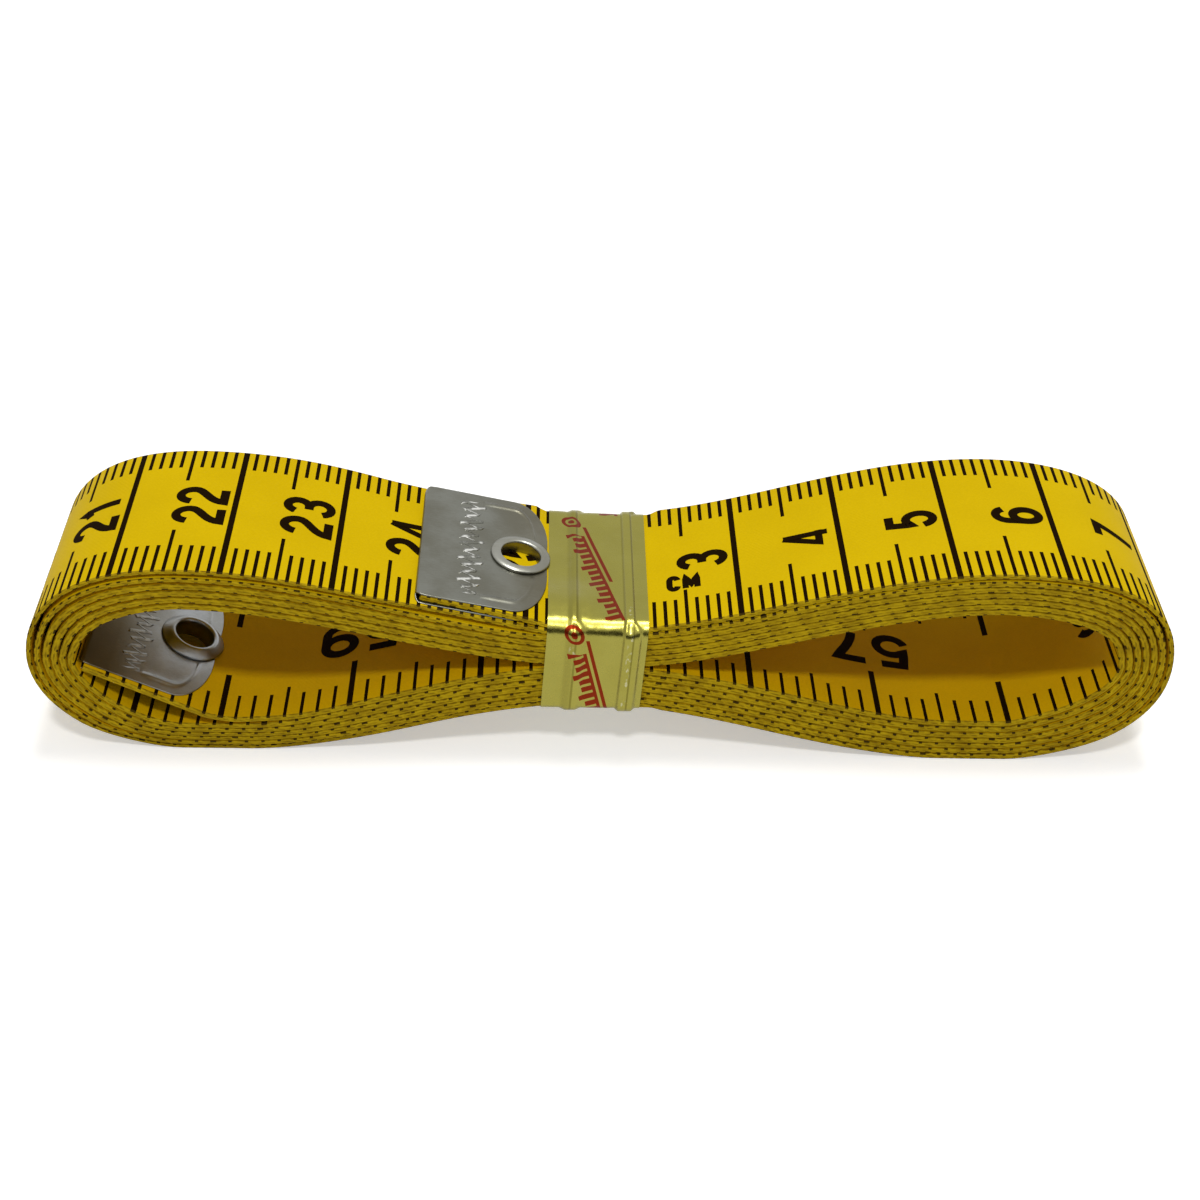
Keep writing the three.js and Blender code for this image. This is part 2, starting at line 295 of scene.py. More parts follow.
class Nodes:
    """The nodes of a material or of the world."""

    def __init__(self, tree):
        self.tree = tree

    def node(self, kind, settings=None, **sockets):
        made = self.tree.nodes.new("ShaderNode" + kind)
        for setting, value in (settings or {}).items():
            setattr(made, setting, value)
        for name, value in sockets.items():
            self.feed(next(s for s in made.inputs if name in (s.identifier, s.name)), value)
        return made

    def feed(self, socket, value):
        if isinstance(value, Value):
            value = value.socket
        if isinstance(value, bpy.types.NodeSocket):
            self.tree.links.new(value, socket)
        else:
            socket.default_value = value

    def value(self, socket):
        return Value(self, socket)

    def math(self, operation, *values):
        names = ("Value", "Value_001", "Value_002")
        made = self.node("Math", {"operation": operation}, **dict(zip(names, values)))
        return self.value(made.outputs[0])

    def smooth(self, value, low, high):
        """0 below low, 1 above high and an even ease between them."""
        made = self.node(
            "MapRange", {"interpolation_type": "SMOOTHSTEP"},
            **{"Value": value, "From Min": low, "From Max": high},
        )
        return self.value(made.outputs[0])

    def fade(self, value, low, high):
        """1 below low, 0 above high and an even ease between them."""
        return 1 - self.smooth(value, low, high)

    def mix(self, share, first, second):
        made = self.node("Mix", {"data_type": "RGBA"}, Factor_Float=share, A_Color=first, B_Color=second)
        return next(s for s in made.outputs if s.identifier == "Result_Color")

    def noise(self, place, scale, detail=2, roughness=0.5):
        made = self.node("TexNoise", None, Vector=place, Scale=scale, Detail=detail, Roughness=roughness)
        return self.value(made.outputs["Fac"])

    def object_place(self, stretch=(1, 1, 1)):
        """The place on the piece in millimetres, stretched along each axis."""
        coordinates = self.node("TexCoord")
        scale = tuple(s / MM for s in stretch)
        return self.node("Mapping", None, Vector=coordinates.outputs["Object"], Scale=scale).outputs[0]

    def along_and_across(self, layer):
        """The two numbers of a UV map."""
        uv = self.node("UVMap", {"uv_map": layer})
        parts = self.node("SeparateXYZ", None, Vector=uv.outputs[0])
        return self.value(parts.outputs[0]), self.value(parts.outputs[1])

    def is_seen(self):
        """1 for the rays that show the background: to the camera, by reflection or through glass."""
        path = self.node("LightPath")
        seen = [self.value(path.outputs[name]) for name in
                ("Is Camera Ray", "Is Glossy Ray", "Is Transmission Ray")]
        return (seen[0] + seen[1] + seen[2]).math("MINIMUM", 1)


class Finish(Nodes):
    """A material in the making, with the values that feed its surface shader."""

    def __init__(self, name, **constants):
        self.material = bpy.data.materials.new(name)
        self.material.use_nodes = True
        super().__init__(self.material.node_tree)
        self.surface = self.tree.nodes["Principled BSDF"]
        for socket, value in constants.items():
            self.surface.inputs[socket.replace("_", " ")].default_value = value

    def set(self, socket, value):
        self.feed(self.surface.inputs[socket], value)

    def bump(self, height, distance):
        made = self.node("Bump", None, Height=height, Distance=distance * MM)
        self.feed(self.surface.inputs["Normal"], made.outputs[0])


def wave(value, pitch):
    return (value * (2 * math.pi / pitch)).math("SINE")


def from_middle(value):
    """How far a value lies from the middle between the whole numbers on its two sides."""
    return value.math("FRACT") - 0.5


def square_sum(first, second):
    return first.math("POWER", 2) + second.math("POWER", 2)


def grey(level):
    return (level, level, level, 1)


def colour(red, green, blue):
    """A colour given as it looks, from 0 to 255."""
    def linear(level):
        share = level / 255
        return share / 12.92 if share <= 0.04045 else ((share + 0.055) / 1.055) ** 2.4
    return (linear(red), linear(green), linear(blue), 1)


# Floor and surroundings

floor_half_size = 6
floor_glow = 0.42
world_level = 0.3
overhead_place = Vector((0.05, 0.1, 0.9))
overhead_power = 3.5
overhead_size = 0.2
front_place = Vector((-0.02, -0.45, 0.85))
front_power = 3.1
front_size = 0.09
dark_sheet_size = (2.6, 0.54)
dark_sheet_place = (0, -0.8, 0.28)
bright_sheet_size = (1.6, 0.75)
bright_sheet_place = (0, -0.22, 1.25)


def add_sheet(name, size, place, tilt, material):
    """A flat sheet round the object, tilted about X."""
    bm = bmesh.new()
    bmesh.ops.create_grid(bm, x_segments=1, y_segments=1, size=0.5)
    bmesh.ops.scale(bm, vec=(*size, 1), verts=bm.verts)
    bmesh.ops.rotate(bm, cent=(0, 0, 0), matrix=Matrix.Rotation(tilt, 3, "X"), verts=bm.verts)
    bmesh.ops.translate(bm, vec=place, verts=bm.verts)
    mesh = bpy.data.meshes.new(name)
    bm.to_mesh(mesh)
    bm.free()
    mesh.materials.append(material)
    sheet = bpy.data.objects.new(name, mesh)
    bpy.context.scene.collection.objects.link(sheet)
    return sheet


def add_floor():
    finish = Finish("pale floor", Roughness=0.9, Base_Color=colour(232, 232, 232))
    glow = finish.node("Emission", None, Color=grey(1), Strength=floor_glow)
    lit = finish.node("AddShader")
    finish.tree.links.new(finish.surface.outputs[0], lit.inputs[0])
    finish.tree.links.new(glow.outputs[0], lit.inputs[1])
    chosen = finish.node("MixShader", None, Fac=finish.is_seen())
    finish.tree.links.new(finish.surface.outputs[0], chosen.inputs[1])
    finish.tree.links.new(lit.outputs[0], chosen.inputs[2])
    finish.tree.links.new(chosen.outputs[0], finish.tree.nodes["Material Output"].inputs[0])
    add_sheet("floor", (2 * floor_half_size, 2 * floor_half_size), (0, 0, 0), 0, finish.material)


def add_surroundings():
    world = bpy.data.worlds.new("studio")
    bpy.context.scene.world = world
    world.use_nodes = True
    nodes = Nodes(world.node_tree)
    background = world.node_tree.nodes["Background"]
    background.inputs["Color"].default_value = grey(1)
    nodes.feed(background.inputs["Strength"], world_level + (1 - world_level) * nodes.is_seen())


def add_mirrored_sheets():
    """A dark sheet in front and a bright one overhead, which only show as reflections on metal."""
    dark = Finish("dark backdrop", Base_Color=grey(0.03), Roughness=1)
    bright = Finish("bright backdrop", Base_Color=grey(0), Emission_Color=grey(1), Emission_Strength=2.4)
    sheets = (
        add_sheet("front backdrop", dark_sheet_size, dark_sheet_place, math.radians(90), dark.material),
        add_sheet("overhead backdrop", bright_sheet_size, bright_sheet_place, 0, bright.material),
    )
    for sheet in sheets:
        sheet.visible_camera = False
        sheet.visible_diffuse = False
        sheet.visible_shadow = False


bpy.context.scene.view_settings.view_transform = "Standard"
add_camera()
add_floor()
add_surroundings()
add_mirrored_sheets()
add_lamp("overhead lamp", overhead_place, overhead_power, overhead_size)
add_lamp("front lamp", front_place, front_power, front_size)


# Finished pieces

def finish_mesh(bm, name, materials, sharp=40):
    """Turns a mesh in millimetres into a piece of the object, with sharp edges above that many degrees."""
    bmesh.ops.scale(bm, vec=(MM, MM, MM), verts=bm.verts)
    mesh = bpy.data.meshes.new(name)
    bm.to_mesh(mesh)
    bm.free()
    for material in materials:
        mesh.materials.append(material)
    mesh.shade_smooth()
    mesh.set_sharp_from_angle(angle=math.radians(sharp))
    piece = bpy.data.objects.new(name, mesh)
    bpy.context.scene.collection.objects.link(piece)
    return piece


def grid(columns, rows):
    """A flat grid of that many cells each way, and the column and row at which each of its corners lies."""
    bm = bmesh.new()
    bmesh.ops.create_grid(bm, x_segments=columns, y_segments=rows, size=1)
    cell_of = {}
    for vert in bm.verts:
        cell_of[vert] = (round((vert.co.x + 1) / 2 * columns), round((vert.co.y + 1) / 2 * rows))
    return bm, cell_of


def extruded(bm, edges):
    """Pulls edges out into new faces, and gives the new edges and the new corners."""
    made = bmesh.ops.extrude_edge_only(bm, edges=edges)["geom"]
    return ([e for e in made if isinstance(e, bmesh.types.BMEdge)],
            [v for v in made if isinstance(v, bmesh.types.BMVert)])


def thicken(bm, thickness):
    """Gives a closed surface a wall inwards, once its faces point outwards."""
    bmesh.ops.recalc_face_normals(bm, faces=bm.faces)
    highest = max(bm.faces, key=lambda face: face.calc_center_median().z)
    if highest.normal.z < 0:
        bmesh.ops.reverse_faces(bm, faces=bm.faces)
    bmesh.ops.solidify(bm, geom=bm.faces, thickness=thickness)


def lengths_round(loop):
    """How far round a loop each of its corners lies, and then its whole length."""
    lengths = [0.0]
    for here, there in zip(loop, loop[1:] + loop[:1]):
        lengths.append(lengths[-1] + math.dist(here, there))
    return lengths


# Materials

weave_pitches = (0.42, 0.5)


def coated_yellow(name, bright, dull):
    finish = Finish(name, Specular_IOR_Level=0.03)
    place = finish.object_place()
    cloud = finish.noise(place, 0.12, 2)
    grain = finish.noise(place, 5, 3)
    worn = finish.smooth(cloud * 0.5 + grain * 0.5, 0.3, 0.7)
    finish.set("Base Color", finish.mix(worn, bright, dull))
    finish.set("Roughness", 0.5 + 0.14 * grain)
    along, across_tape = finish.along_and_across("Tape")
    weave = wave(along, weave_pitches[0]) * wave(across_tape, weave_pitches[1])
    finish.bump(weave * 0.4 + grain, 0.01)
    return finish.material


def printed_ink():
    finish = Finish("printed ink", Roughness=0.7, Specular_IOR_Level=0.01)
    grain = finish.noise(finish.object_place(), 4, 3)
    finish.set("Base Color", finish.mix(grain, colour(16, 9, 1), colour(32, 18, 3)))
    finish.bump(grain, 0.01)
    return finish.material


# Two rows of dark dashes on the tape's edge, the weave's own marks with painted shade in its groove and
# between turns: the depth, phase and strength of each
shaded_dash_rows = ((0.5, 0, 0.75), (0, 0.5, 1))
thread_pitch = 1.2
thread_lean = 0.12
thread_reach = (0.4, 0.12)
thread_drift = 1.8
edge_fuzz = 0.18

# Marks that run over on to the edge: where they begin, their step and width, the depths they show between,
# and the length they show up to
edge_marks = (
    (centimetre_zero, 1, tick_width, -1, 0.24, 470),
    (centimetre_zero, 10, line_width, -1, 0.3, 470),
    (inch_zero, inch / inch_parts, inch_tick_width, 0.72, 2, inner_marks_end),
    (inch_zero, inch / 2, inch_line_width, 0.68, 2, inner_marks_end),
)


def woven_edge():
    """Threads that turn round the tape's edge, with dark dashes between them that are partly painted shade,
    and the printed marks that run over on to them.
    """
    finish = Finish("woven edge", Roughness=0.8, Specular_IOR_Level=0.06)
    along, depth = finish.along_and_across("Tape")
    place = finish.object_place()
    stray = finish.noise(place, 0.7, 2)
    fuzz = finish.noise(place, 5, 3)
    drift = along + (stray - 0.5) * thread_drift
    level = depth + (fuzz - 0.5) * edge_fuzz
    dark = 0
    for row, phase, share in shaded_dash_rows:
        beat = from_middle(drift / thread_pitch + phase)
        lean = from_middle(level - row + 0.5) - beat * thread_lean
        apart = square_sum(beat / thread_reach[0], lean / thread_reach[1])
        dark = (finish.fade(apart, 0.2, 1.5) * share).math("MAXIMUM", dark)
    strength = finish.smooth(finish.noise(place, 1.3, 1), 0.35, 0.65) * 0.55 + 0.25
    lit = finish.smooth(stray + fuzz * 0.4, 0.5, 0.9)
    thread = finish.mix(lit, colour(188, 158, 15), colour(160, 131, 11))
    # Painted shade: the dashes darken the threads in the weave's groove and where one turn meets the next, as
    # well as marking the weave.
    shaded = finish.mix(dark * strength, thread, colour(96, 70, 2))
    inked = 0
    for zero, step, width, low, high, end in edge_marks:
        beside = abs(from_middle((along - zero) / step + 0.5)) * step
        mark = (beside < width / 2) * (level > low) * (level < high) * (along < end)
        inked = mark.math("MAXIMUM", inked)
    finish.set("Base Color", finish.mix(inked * 0.9, shaded, colour(30, 15, 3)))
    finish.bump(fuzz * 0.3 - dark * 0.7, 0.06)
    return finish.material


ridge_turn_radius = 3.2
stamp_lean = 0.35
stamp_half_length = 0.8
stamp_swell = 0.3
stamp_swell_pitch = 2.992
stamp_wave_height = 0.5
stamp_row_half = 7.5


def stamped_marks(finish):
    """The heights of a tip's pressed marks: a ridge in each open corner, and a row of bars on a wavy line."""
    from_edge, across_tip = finish.along_and_across("Tip")
    side = abs(across_tip)
    into_corner = (from_edge - tip_corner_along).math("MINIMUM", 0) / (tip_corner_along - ridge_in_corner)
    off_corner = (side - tip_corner_side).math("MAXIMUM", 0) / (tip_corner_across - ridge_in_corner)
    reach = square_sum(into_corner, off_corner).math("SQRT")
    ridge = finish.fade(abs(reach - 1) * ridge_turn_radius, 0.03, 0.3)
    ridge = ridge * (from_edge < ridge_starts_at) * (side > ridge_clear_of_eyelet)
    offset = from_edge - stamp_from_edge
    beat = from_middle((across_tip + offset * stamp_lean) / stamp_pitch)
    bar_end = stamp_half_length + stamp_swell * wave(across_tip, stamp_swell_pitch)
    bars = finish.fade(abs(beat) * stamp_pitch, 0.1, 0.3) * finish.fade(abs(offset) - bar_end, 0, 0.2)
    off_wave = abs(offset - stamp_wave_height * wave(across_tip, stamp_pitch))
    row = bars.math("MAXIMUM", finish.fade(off_wave, 0.08, 0.28)) * (side < stamp_row_half)
    return ridge, row


def plated_steel(name, bright, dull, painted_glint_share=0, end_darkening=None):
    """Worn plating. A stamped sheet also has painted highlights on its pressed row, and grows darker towards
    one end.
    """
    finish = Finish(name, Metallic=1)
    place = finish.object_place()
    cloud = finish.noise(place, 0.25, 3)
    scuffs = finish.noise(finish.object_place((0.6, 6, 6)), 1.4, 4)
    worn = finish.smooth(cloud + scuffs * 0.3, 0.4, 0.85)
    plating = finish.mix(worn, bright, dull)
    height = scuffs * 0.05
    if end_darkening:
        ridge, row = stamped_marks(finish)
        # The sheet grows darker between two distances from its open edge, by the share given.
        lightest_at, darkest_at, share = end_darkening
        from_edge = finish.along_and_across("Tip")[0]
        darkened_share = ((from_edge - lightest_at) / (darkest_at - lightest_at)).math("MAXIMUM", 0).math("MINIMUM", 1)
        plating = finish.mix(darkened_share * share, plating, colour(92, 82, 54))
        # Painted highlights: pale flecks on the pressed row, standing in for the light it catches.
        painted_glint = finish.smooth(finish.noise(place, 1.1, 2), 0.42, 0.6)
        plating = finish.mix(row * painted_glint * painted_glint_share, plating, colour(236, 236, 230))
        height = height + (ridge * 0.2).math("MAXIMUM", row)
    finish.set("Base Color", plating)
    finish.set("Roughness", 0.2 + 0.14 * scuffs + 0.1 * cloud)
    finish.bump(height, 0.22)
    return finish.material


# Painted shade along the foil's two pleats, dark along each crease and soft beside the left one: how far from
# the left edge, how wide and how dark
crease_shades = ((2.7, 0.16, 0.55), (2.2, 0.6, 0.22), (7.1, 0.14, 0.35), (7.98, 0.12, 0.6))

# Lines of print on the foil, by how far they run along a line and how far beside its middle
print_slant = 0.28
print_lines_apart = 4.4
print_first_line = 1.75
print_start = 0.5
print_stagger = 17
print_repeat = 34
bar_pitch = 0.86
bar_lean = 0.35
bar_half_share = 0.33
bar_ends = (-0.7, 0.6)
tall_bar_more = 0.45
tall_bar_every = 3
bars_start = 3.1
bars_end = 16.4
foot_beside = 0.5
foot_half_width = 0.16
rule_beside = 1.1
rule_half_width = 0.17
rule_start = 1.6
rule_end = 10.5
ring_middle = 1
ring_radius = 0.74
ring_half_width = 0.18
ring_dot_radius = 0.3

# Where the foil is flecked: beside its two pleats, from a place round the band on, and in the front fold; the
# flecks in the front fold are painted highlights
fleck_and_glint_places = (7.7, 2.5)
flecks_start = 15
front_fold = 20.2


def foil_print(beside, around):
    """Where the foil is red: a ring with a dot in it, a row of bars on a foot, and a rule beside them."""
    slanted = beside - around * print_slant - print_first_line
    line = (slanted / print_lines_apart + 0.5).math("FLOOR")
    off = slanted - line * print_lines_apart
    run = ((around - print_start + line * print_stagger) / print_repeat).math("FRACT") * print_repeat
    bar_count = (run + off * bar_lean) / bar_pitch
    is_tall = (bar_count / tall_bar_every).math("FRACT") < 1 / tall_bar_every
    bars = (abs(from_middle(bar_count)) < bar_half_share) * (off < bar_ends[1])
    bars = bars * (off > bar_ends[0] - tall_bar_more * is_tall)
    foot = abs(off - foot_beside) < foot_half_width
    footed_bars = bars.math("MAXIMUM", foot) * (run > bars_start) * (run < bars_end)
    rule = (abs(off - rule_beside) < rule_half_width) * (run > rule_start) * (run < rule_end)
    from_ring = square_sum(run - ring_middle, off).math("SQRT")
    ring = (abs(from_ring - ring_radius) < ring_half_width).math("MAXIMUM", from_ring < ring_dot_radius)
    return footed_bars.math("MAXIMUM", rule).math("MAXIMUM", ring)


def gold_foil():
    finish = Finish("gold foil", Metallic=1)
    place = finish.object_place()
    cloud = finish.noise(place, 0.3, 3)
    crackle = finish.noise(place, 1.6, 4)
    bare = finish.mix(cloud, colour(151, 145, 70), colour(138, 131, 57))
    beside, around = finish.along_and_across("Foil")
    printed = foil_print(beside, around)
    # Painted shade: the foil darkens along each crease of its pleats, and beside the left one.
    crease_shade = 0
    for middle, reach, depth in crease_shades:
        crease_shade = (depth * finish.fade(abs(beside - middle), reach * 0.3, reach)).math("MAXIMUM", crease_shade)
    bare = finish.mix(crease_shade, bare, colour(88, 80, 24))
    on_front = finish.fade(abs(beside - fleck_and_glint_places[0]), 0.12, 0.3) * (around > flecks_start)
    # Painted highlights: pale flecks in the front fold beside the left pleat.
    fold_glints = finish.fade(abs(beside - fleck_and_glint_places[1]), 0.1, 0.5) * (abs(around - front_fold) < 0.5)
    specks = finish.smooth(finish.noise(finish.object_place((1, 1, 0.5)), 3.6, 3), 0.54, 0.64)
    bare = finish.mix(on_front.math("MAXIMUM", fold_glints) * specks * 0.55, bare, colour(190, 188, 160))
    finish.set("Base Color", finish.mix(printed * 0.97, bare, colour(116, 28, 10)))
    finish.set("Roughness", 0.2 + 0.12 * crackle + 0.1 * printed)
    finish.bump(crackle, 0.02)
    return finish.material


cloth = coated_yellow("coated yellow cloth", colour(216, 182, 2), colour(207, 173, 1))
# The inch side is a darker copy of the cloth: painted shade for the faces turned inwards in the winding.
shaded_inch_cloth = coated_yellow("shaded inch side of the cloth", colour(213, 170, 1), colour(204, 161, 1))
ink = printed_ink()
edge = woven_edge()
# The inner tip and ring get a lighter copy of the plating: painted light for the reflections they catch
# inside the winding.
outer_tip_plating = (colour(122, 123, 115), colour(104, 103, 92))
inner_lightened_plating = (colour(160, 163, 166), colour(140, 140, 136))
steels = {
    "outer": plated_steel("ring steel", colour(150, 150, 142), colour(128, 127, 116)),
    "inner": plated_steel("inner ring steel", *inner_lightened_plating),
}
stamped_steels = {
    "outer": plated_steel("stamped steel", *outer_tip_plating, 0.75, (5.5, 0.5, 0.4)),
    "inner": plated_steel("inner stamped steel", *inner_lightened_plating, 0.2, (4.5, 9.5, 0.85)),
}
foil = gold_foil()

# The winding follows one closed outline and sinks inwards as it goes round, by a pitch for each turn.
Place = namedtuple("Place", "x z out flat pitch")
places = (
    Place(waist_top_x, waist_top_height, up, 0, waist_top_pitch),
    Place(half_length - right_top_from_end, lobe_height, up, 0, right_top_pitch),
    Place(half_length, right_end_height, right, 0, right_end_pitch),
    Place(half_length - right_foot_from_end, 0, down, foot_flat_length, right_foot_pitch),
    Place(waist_bottom_x, waist_bottom_height, down, 0, waist_bottom_pitch),
    Place(left_foot_from_end - half_length, 0, down, foot_flat_length, left_foot_pitch),
    Place(-half_length, left_end_height, left, 0, left_end_pitch),
    Place(left_top_from_end - half_length, left_lobe_height, up, 0, left_top_pitch),
)
stretch_count = len(places)
left_foot_count = 5
hinge_halvings = 40


def turned_right(way):
    return Vector((way.y, -way.x))


def turned_left(way):
    return Vector((-way.y, way.x))


def curve_at(points, share):
    """A place on a curve between two ends with a handle on each, and the way along it there."""
    start, start_handle, end_handle, end = points
    rest = 1 - share
    place = (start * rest ** 3 + start_handle * 3 * rest ** 2 * share
             + end_handle * 3 * rest * share ** 2 + end * share ** 3)
    way = ((start_handle - start) * rest ** 2 + (end_handle - start_handle) * 2 * rest * share
           + (end - end_handle) * share ** 2)
    return place, way.normalized()


def edge_of_place(place, count, side):
    """Where the outline arrives at a place (side -1) or leaves it (side 1)."""
    middle = Vector((place.x, place.z)) + place.out * place.pitch * count / stretch_count
    return middle + turned_right(place.out) * side * place.flat / 2


def station(turn, stretch, share):
    """A place on the tape's outer face and the way inwards from it, seen from the front."""
    following = (stretch + 1) % stretch_count
    start, end = places[stretch], places[following]
    leave, arrive = edge_of_place(start, stretch, 1), edge_of_place(end, following, -1)
    leave_way, arrive_way = turned_right(start.out), turned_right(end.out)
    leave_share, arrive_share = handle_shares[stretch]
    span = arrive - leave
    point, travel = curve_at((
        leave,
        leave + leave_way * leave_share * abs(span.dot(leave_way)),
        arrive - arrive_way * arrive_share * abs(span.dot(arrive_way)),
        arrive,
    ), share)
    inward = turned_right(travel)
    pitch = start.pitch + (end.pitch - start.pitch) * ease(share, 0, 1)
    turns = turn + (stretch + share) / stretch_count
    return point + inward * turns * (pitch + sags[stretch] * 4 * share * (1 - share)), inward


class TapePath:
    """A run of tape seen from the front, by length along its outer face."""

    def __init__(self, faces, start=0, end=None):
        self.faces = [faces[0]]
        self.lengths = [0.0]
        for point, inward in faces[1:]:
            step = (point - self.faces[-1][0]).length
            if step > 1e-5:
                self.faces.append((point, inward))
                self.lengths.append(self.lengths[-1] + step)
        shift = start if end is None else end - self.lengths[-1]
        self.lengths = [length + shift for length in self.lengths]
        self.start, self.end = self.lengths[0], self.lengths[-1]

    def at(self, length):
        """The outer face and the way inwards from it."""
        k = min(max(bisect_right(self.lengths, length) - 1, 0), len(self.lengths) - 2)
        share = (length - self.lengths[k]) / (self.lengths[k + 1] - self.lengths[k])
        (here, inward), (there, next_inward) = self.faces[k], self.faces[k + 1]
        return here.lerp(there, share), inward.lerp(next_inward, share).normalized()


def hinge_share():
    """The share of the last stretch before the waist at which the outer turn passes the outer hinge."""
    low, high = 0.0, 1.0
    for _ in range(hinge_halvings):
        middle = (low + high) / 2
        if station(-1, stretch_count - 1, middle)[0].x < outer_hinge.x:
            low = middle
        else:
            high = middle
    return low


def winding_path():
    """The whole winding, from the outer hinge to the inner one, where it bends up off the turn below."""
    first = hinge_share()
    shares = [step / steps_per_stretch for step in range(steps_per_stretch + 1)]
    faces = [station(-1, stretch_count - 1, first + (1 - first) * share) for share in shares]
    for count in range(whole_turns * stretch_count + left_foot_count):
        turn, stretch = divmod(count, stretch_count)
        faces += [station(turn, stretch, share) for share in shares]
    end, inward = faces[-1]
    centre = end + inward * inner_bend_radius
    for step in range(1, bend_steps + 1):
        turned = inward.copy()
        turned.rotate(Matrix.Rotation(-inner_end_tilt * step / bend_steps, 2))
        faces.append((centre - turned * inner_bend_radius, turned))
    end, inward = faces[-1]
    faces.append((end + turned_left(inward) * inner_straight_length, inward))
    return TapePath(faces)


# The left foot's stack of turns, which is pressed flatter: its height, the heights over which that fades, and
# the places along the bundle
settled_stack = 4.3
settled_fade = (7, 14)
settled_run = (-50, -42, -36, -22)

# Where the innermost turn stands off the turn under it, by length from the winding's end
parting_run = (-9.3, -1.6, -1.2, 1.6)
parting_height = 0.3


def settled(point):
    """Where a place in the left foot's stack of turns lies once the stack has been pressed flatter."""
    share = min(point.y / settled_stack, 1) * (1 - ease(point.y, *settled_fade))
    return point - Vector((0, inner_end_drop * share * hump(point.x, *settled_run)))


def parted(length):
    """How far the innermost turn stands off the turn under it, before its end bends up."""
    return Vector((0, parting_height * hump(length - winding.end, *parting_run)))


End = namedtuple("End", "root tilt level free_length forward turn trims blend_run")
ends = {
    "outer": End(outer_hinge, outer_end_tilt, outer_level, outer_free_length, 0, 0,
                 outer_trims, outer_blend_run),
    "inner": End(inner_bend, inner_end_tilt + inner_end_steeper, 0, inner_free_length,
                 inner_tip_forward, inner_tip_turn, inner_trims, inner_blend_run),
}


def end_plane(end):
    """The ways along and up from the root of an end of the tape, in its own plane."""
    return Vector((-math.cos(end.tilt), math.sin(end.tilt))), Vector((math.sin(end.tilt), math.cos(end.tilt)))


def end_matrix(end):
    """From a tip's own plane, its open edge at zero and its fold towards -X, to its place on the bundle."""
    return (Matrix.Translation((end.root.x, -end.forward, end.root.y)) @ Matrix.Rotation(end.tilt, 4, "Y")
            @ Matrix.Rotation(end.turn, 4, "Z") @ Matrix.Translation((-end.free_length, 0, end.level)))


def outer_end_path():
    """The tape's outer end: flat in its tip, then down on to the winding under the band's edge."""
    end = ends["outer"]
    along, upward = end_plane(end)
    middle = end.root + upward * end.level
    leave = middle + along * (end.free_length + bend_inside_tip)
    face, inward = winding.at(join_length)
    arrive = face + inward * tape_thickness / 2
    curve = (leave, leave - along * s_bend_handle, arrive - turned_left(inward) * s_bend_handle, arrive)
    runs = [(middle + along * (end.free_length + fold_from_edge), -upward)]
    for step in range(bend_steps + 1):
        point, way = curve_at(curve, step / bend_steps)
        runs.append((point, turned_right(way)))
    faces = [(point - inward * tape_thickness / 2, inward) for point, inward in runs]
    return TapePath(faces, end=join_length)


def inner_end_path():
    """The tape's inner end, which leaves the winding in an ease and runs straight to the fold of its tip."""
    end = ends["inner"]
    along, upward = end_plane(end)
    face, inward = winding.at(winding.end)
    first = settled(face + inward * tape_thickness / 2)
    straight_from = end.root + along * end.free_length
    middles = []
    for step in range(inner_end_steps + 1):
        share = step / inner_end_steps
        onward = first + along * end.free_length * share
        backward = straight_from + along * end.free_length * (share - 1)
        eased = onward.lerp(backward, ease(share, 0, 1))
        middles.append(eased + parted(winding.end + end.free_length * share))
    middles.append(end.root + along * (end.free_length + fold_from_edge))
    return TapePath([(point - upward * tape_thickness / 2, upward) for point in middles], start=winding.end)


winding = winding_path()
outer_end = outer_end_path()
inner_end = inner_end_path()


# Tape

# Where the marks end in front of the tape's middle and behind it
centimetre_line_ends = (half_width, -half_width)
half_centimetre_ends = (-3.4, 4.4)
unit_mark_ends = (-4.3, 4.4)
centimetre_tick_ends = (-5.7, 6.6)
inch_ends = (-3.2, 3.2)
half_inch_ends = (-3.6, 3.6)
quarter_inch_ends = (-5.4, 5.4)
inch_tick_ends = (-6.4, 6.4)


def centimetre_mark(count):
    """The width of a mark on the centimetre face, and where it ends in front and behind."""
    if count % 10 == 0:
        return line_width, *centimetre_line_ends
    if count == unit_mark:
        return tick_width, *unit_mark_ends
    if count % 5 == 0:
        return tick_width, *half_centimetre_ends
    return tick_width, *centimetre_tick_ends


def inch_mark(count):
    if count % inch_parts == 0:
        return inch_line_width, *inch_ends
    if count % (inch_parts // 2) == 0:
        return inch_line_width, *half_inch_ends
    if count % (inch_parts // 4) == 0:
        return inch_tick_width, *quarter_inch_ends
    return inch_tick_width, *inch_tick_ends


Scale = namedtuple("Scale", "zero step mark start end")
centimetres = Scale(centimetre_zero, 1, centimetre_mark, outer_marks_start, outer_marks_end)
inches = Scale(inch_zero, inch / inch_parts, inch_mark, inner_marks_start, inner_marks_end)


def tape_columns(start, end):
    """Lengths along the tape at which its mesh is divided: both sides of each mark, and no step too long."""
    sides = []
    for scale in (centimetres, inches):
        low, high = max(start, scale.start), min(end, scale.end)
        first = math.floor((low - scale.zero) / scale.step)
        last = math.ceil((high - scale.zero) / scale.step)
        for count in range(first, last + 1):
            middle = scale.zero + count * scale.step
            half = scale.mark(count)[0] / 2
            sides += [middle - half, middle + half]
    columns = [start]
    for place in sorted(sides) + [end]:
        if columns[-1] + shortest_column < place <= end:
            previous, span = columns[-1], place - columns[-1]
            parts = math.ceil(span / longest_column)
            columns += [previous + span * part / parts for part in range(1, parts + 1)]
    return columns


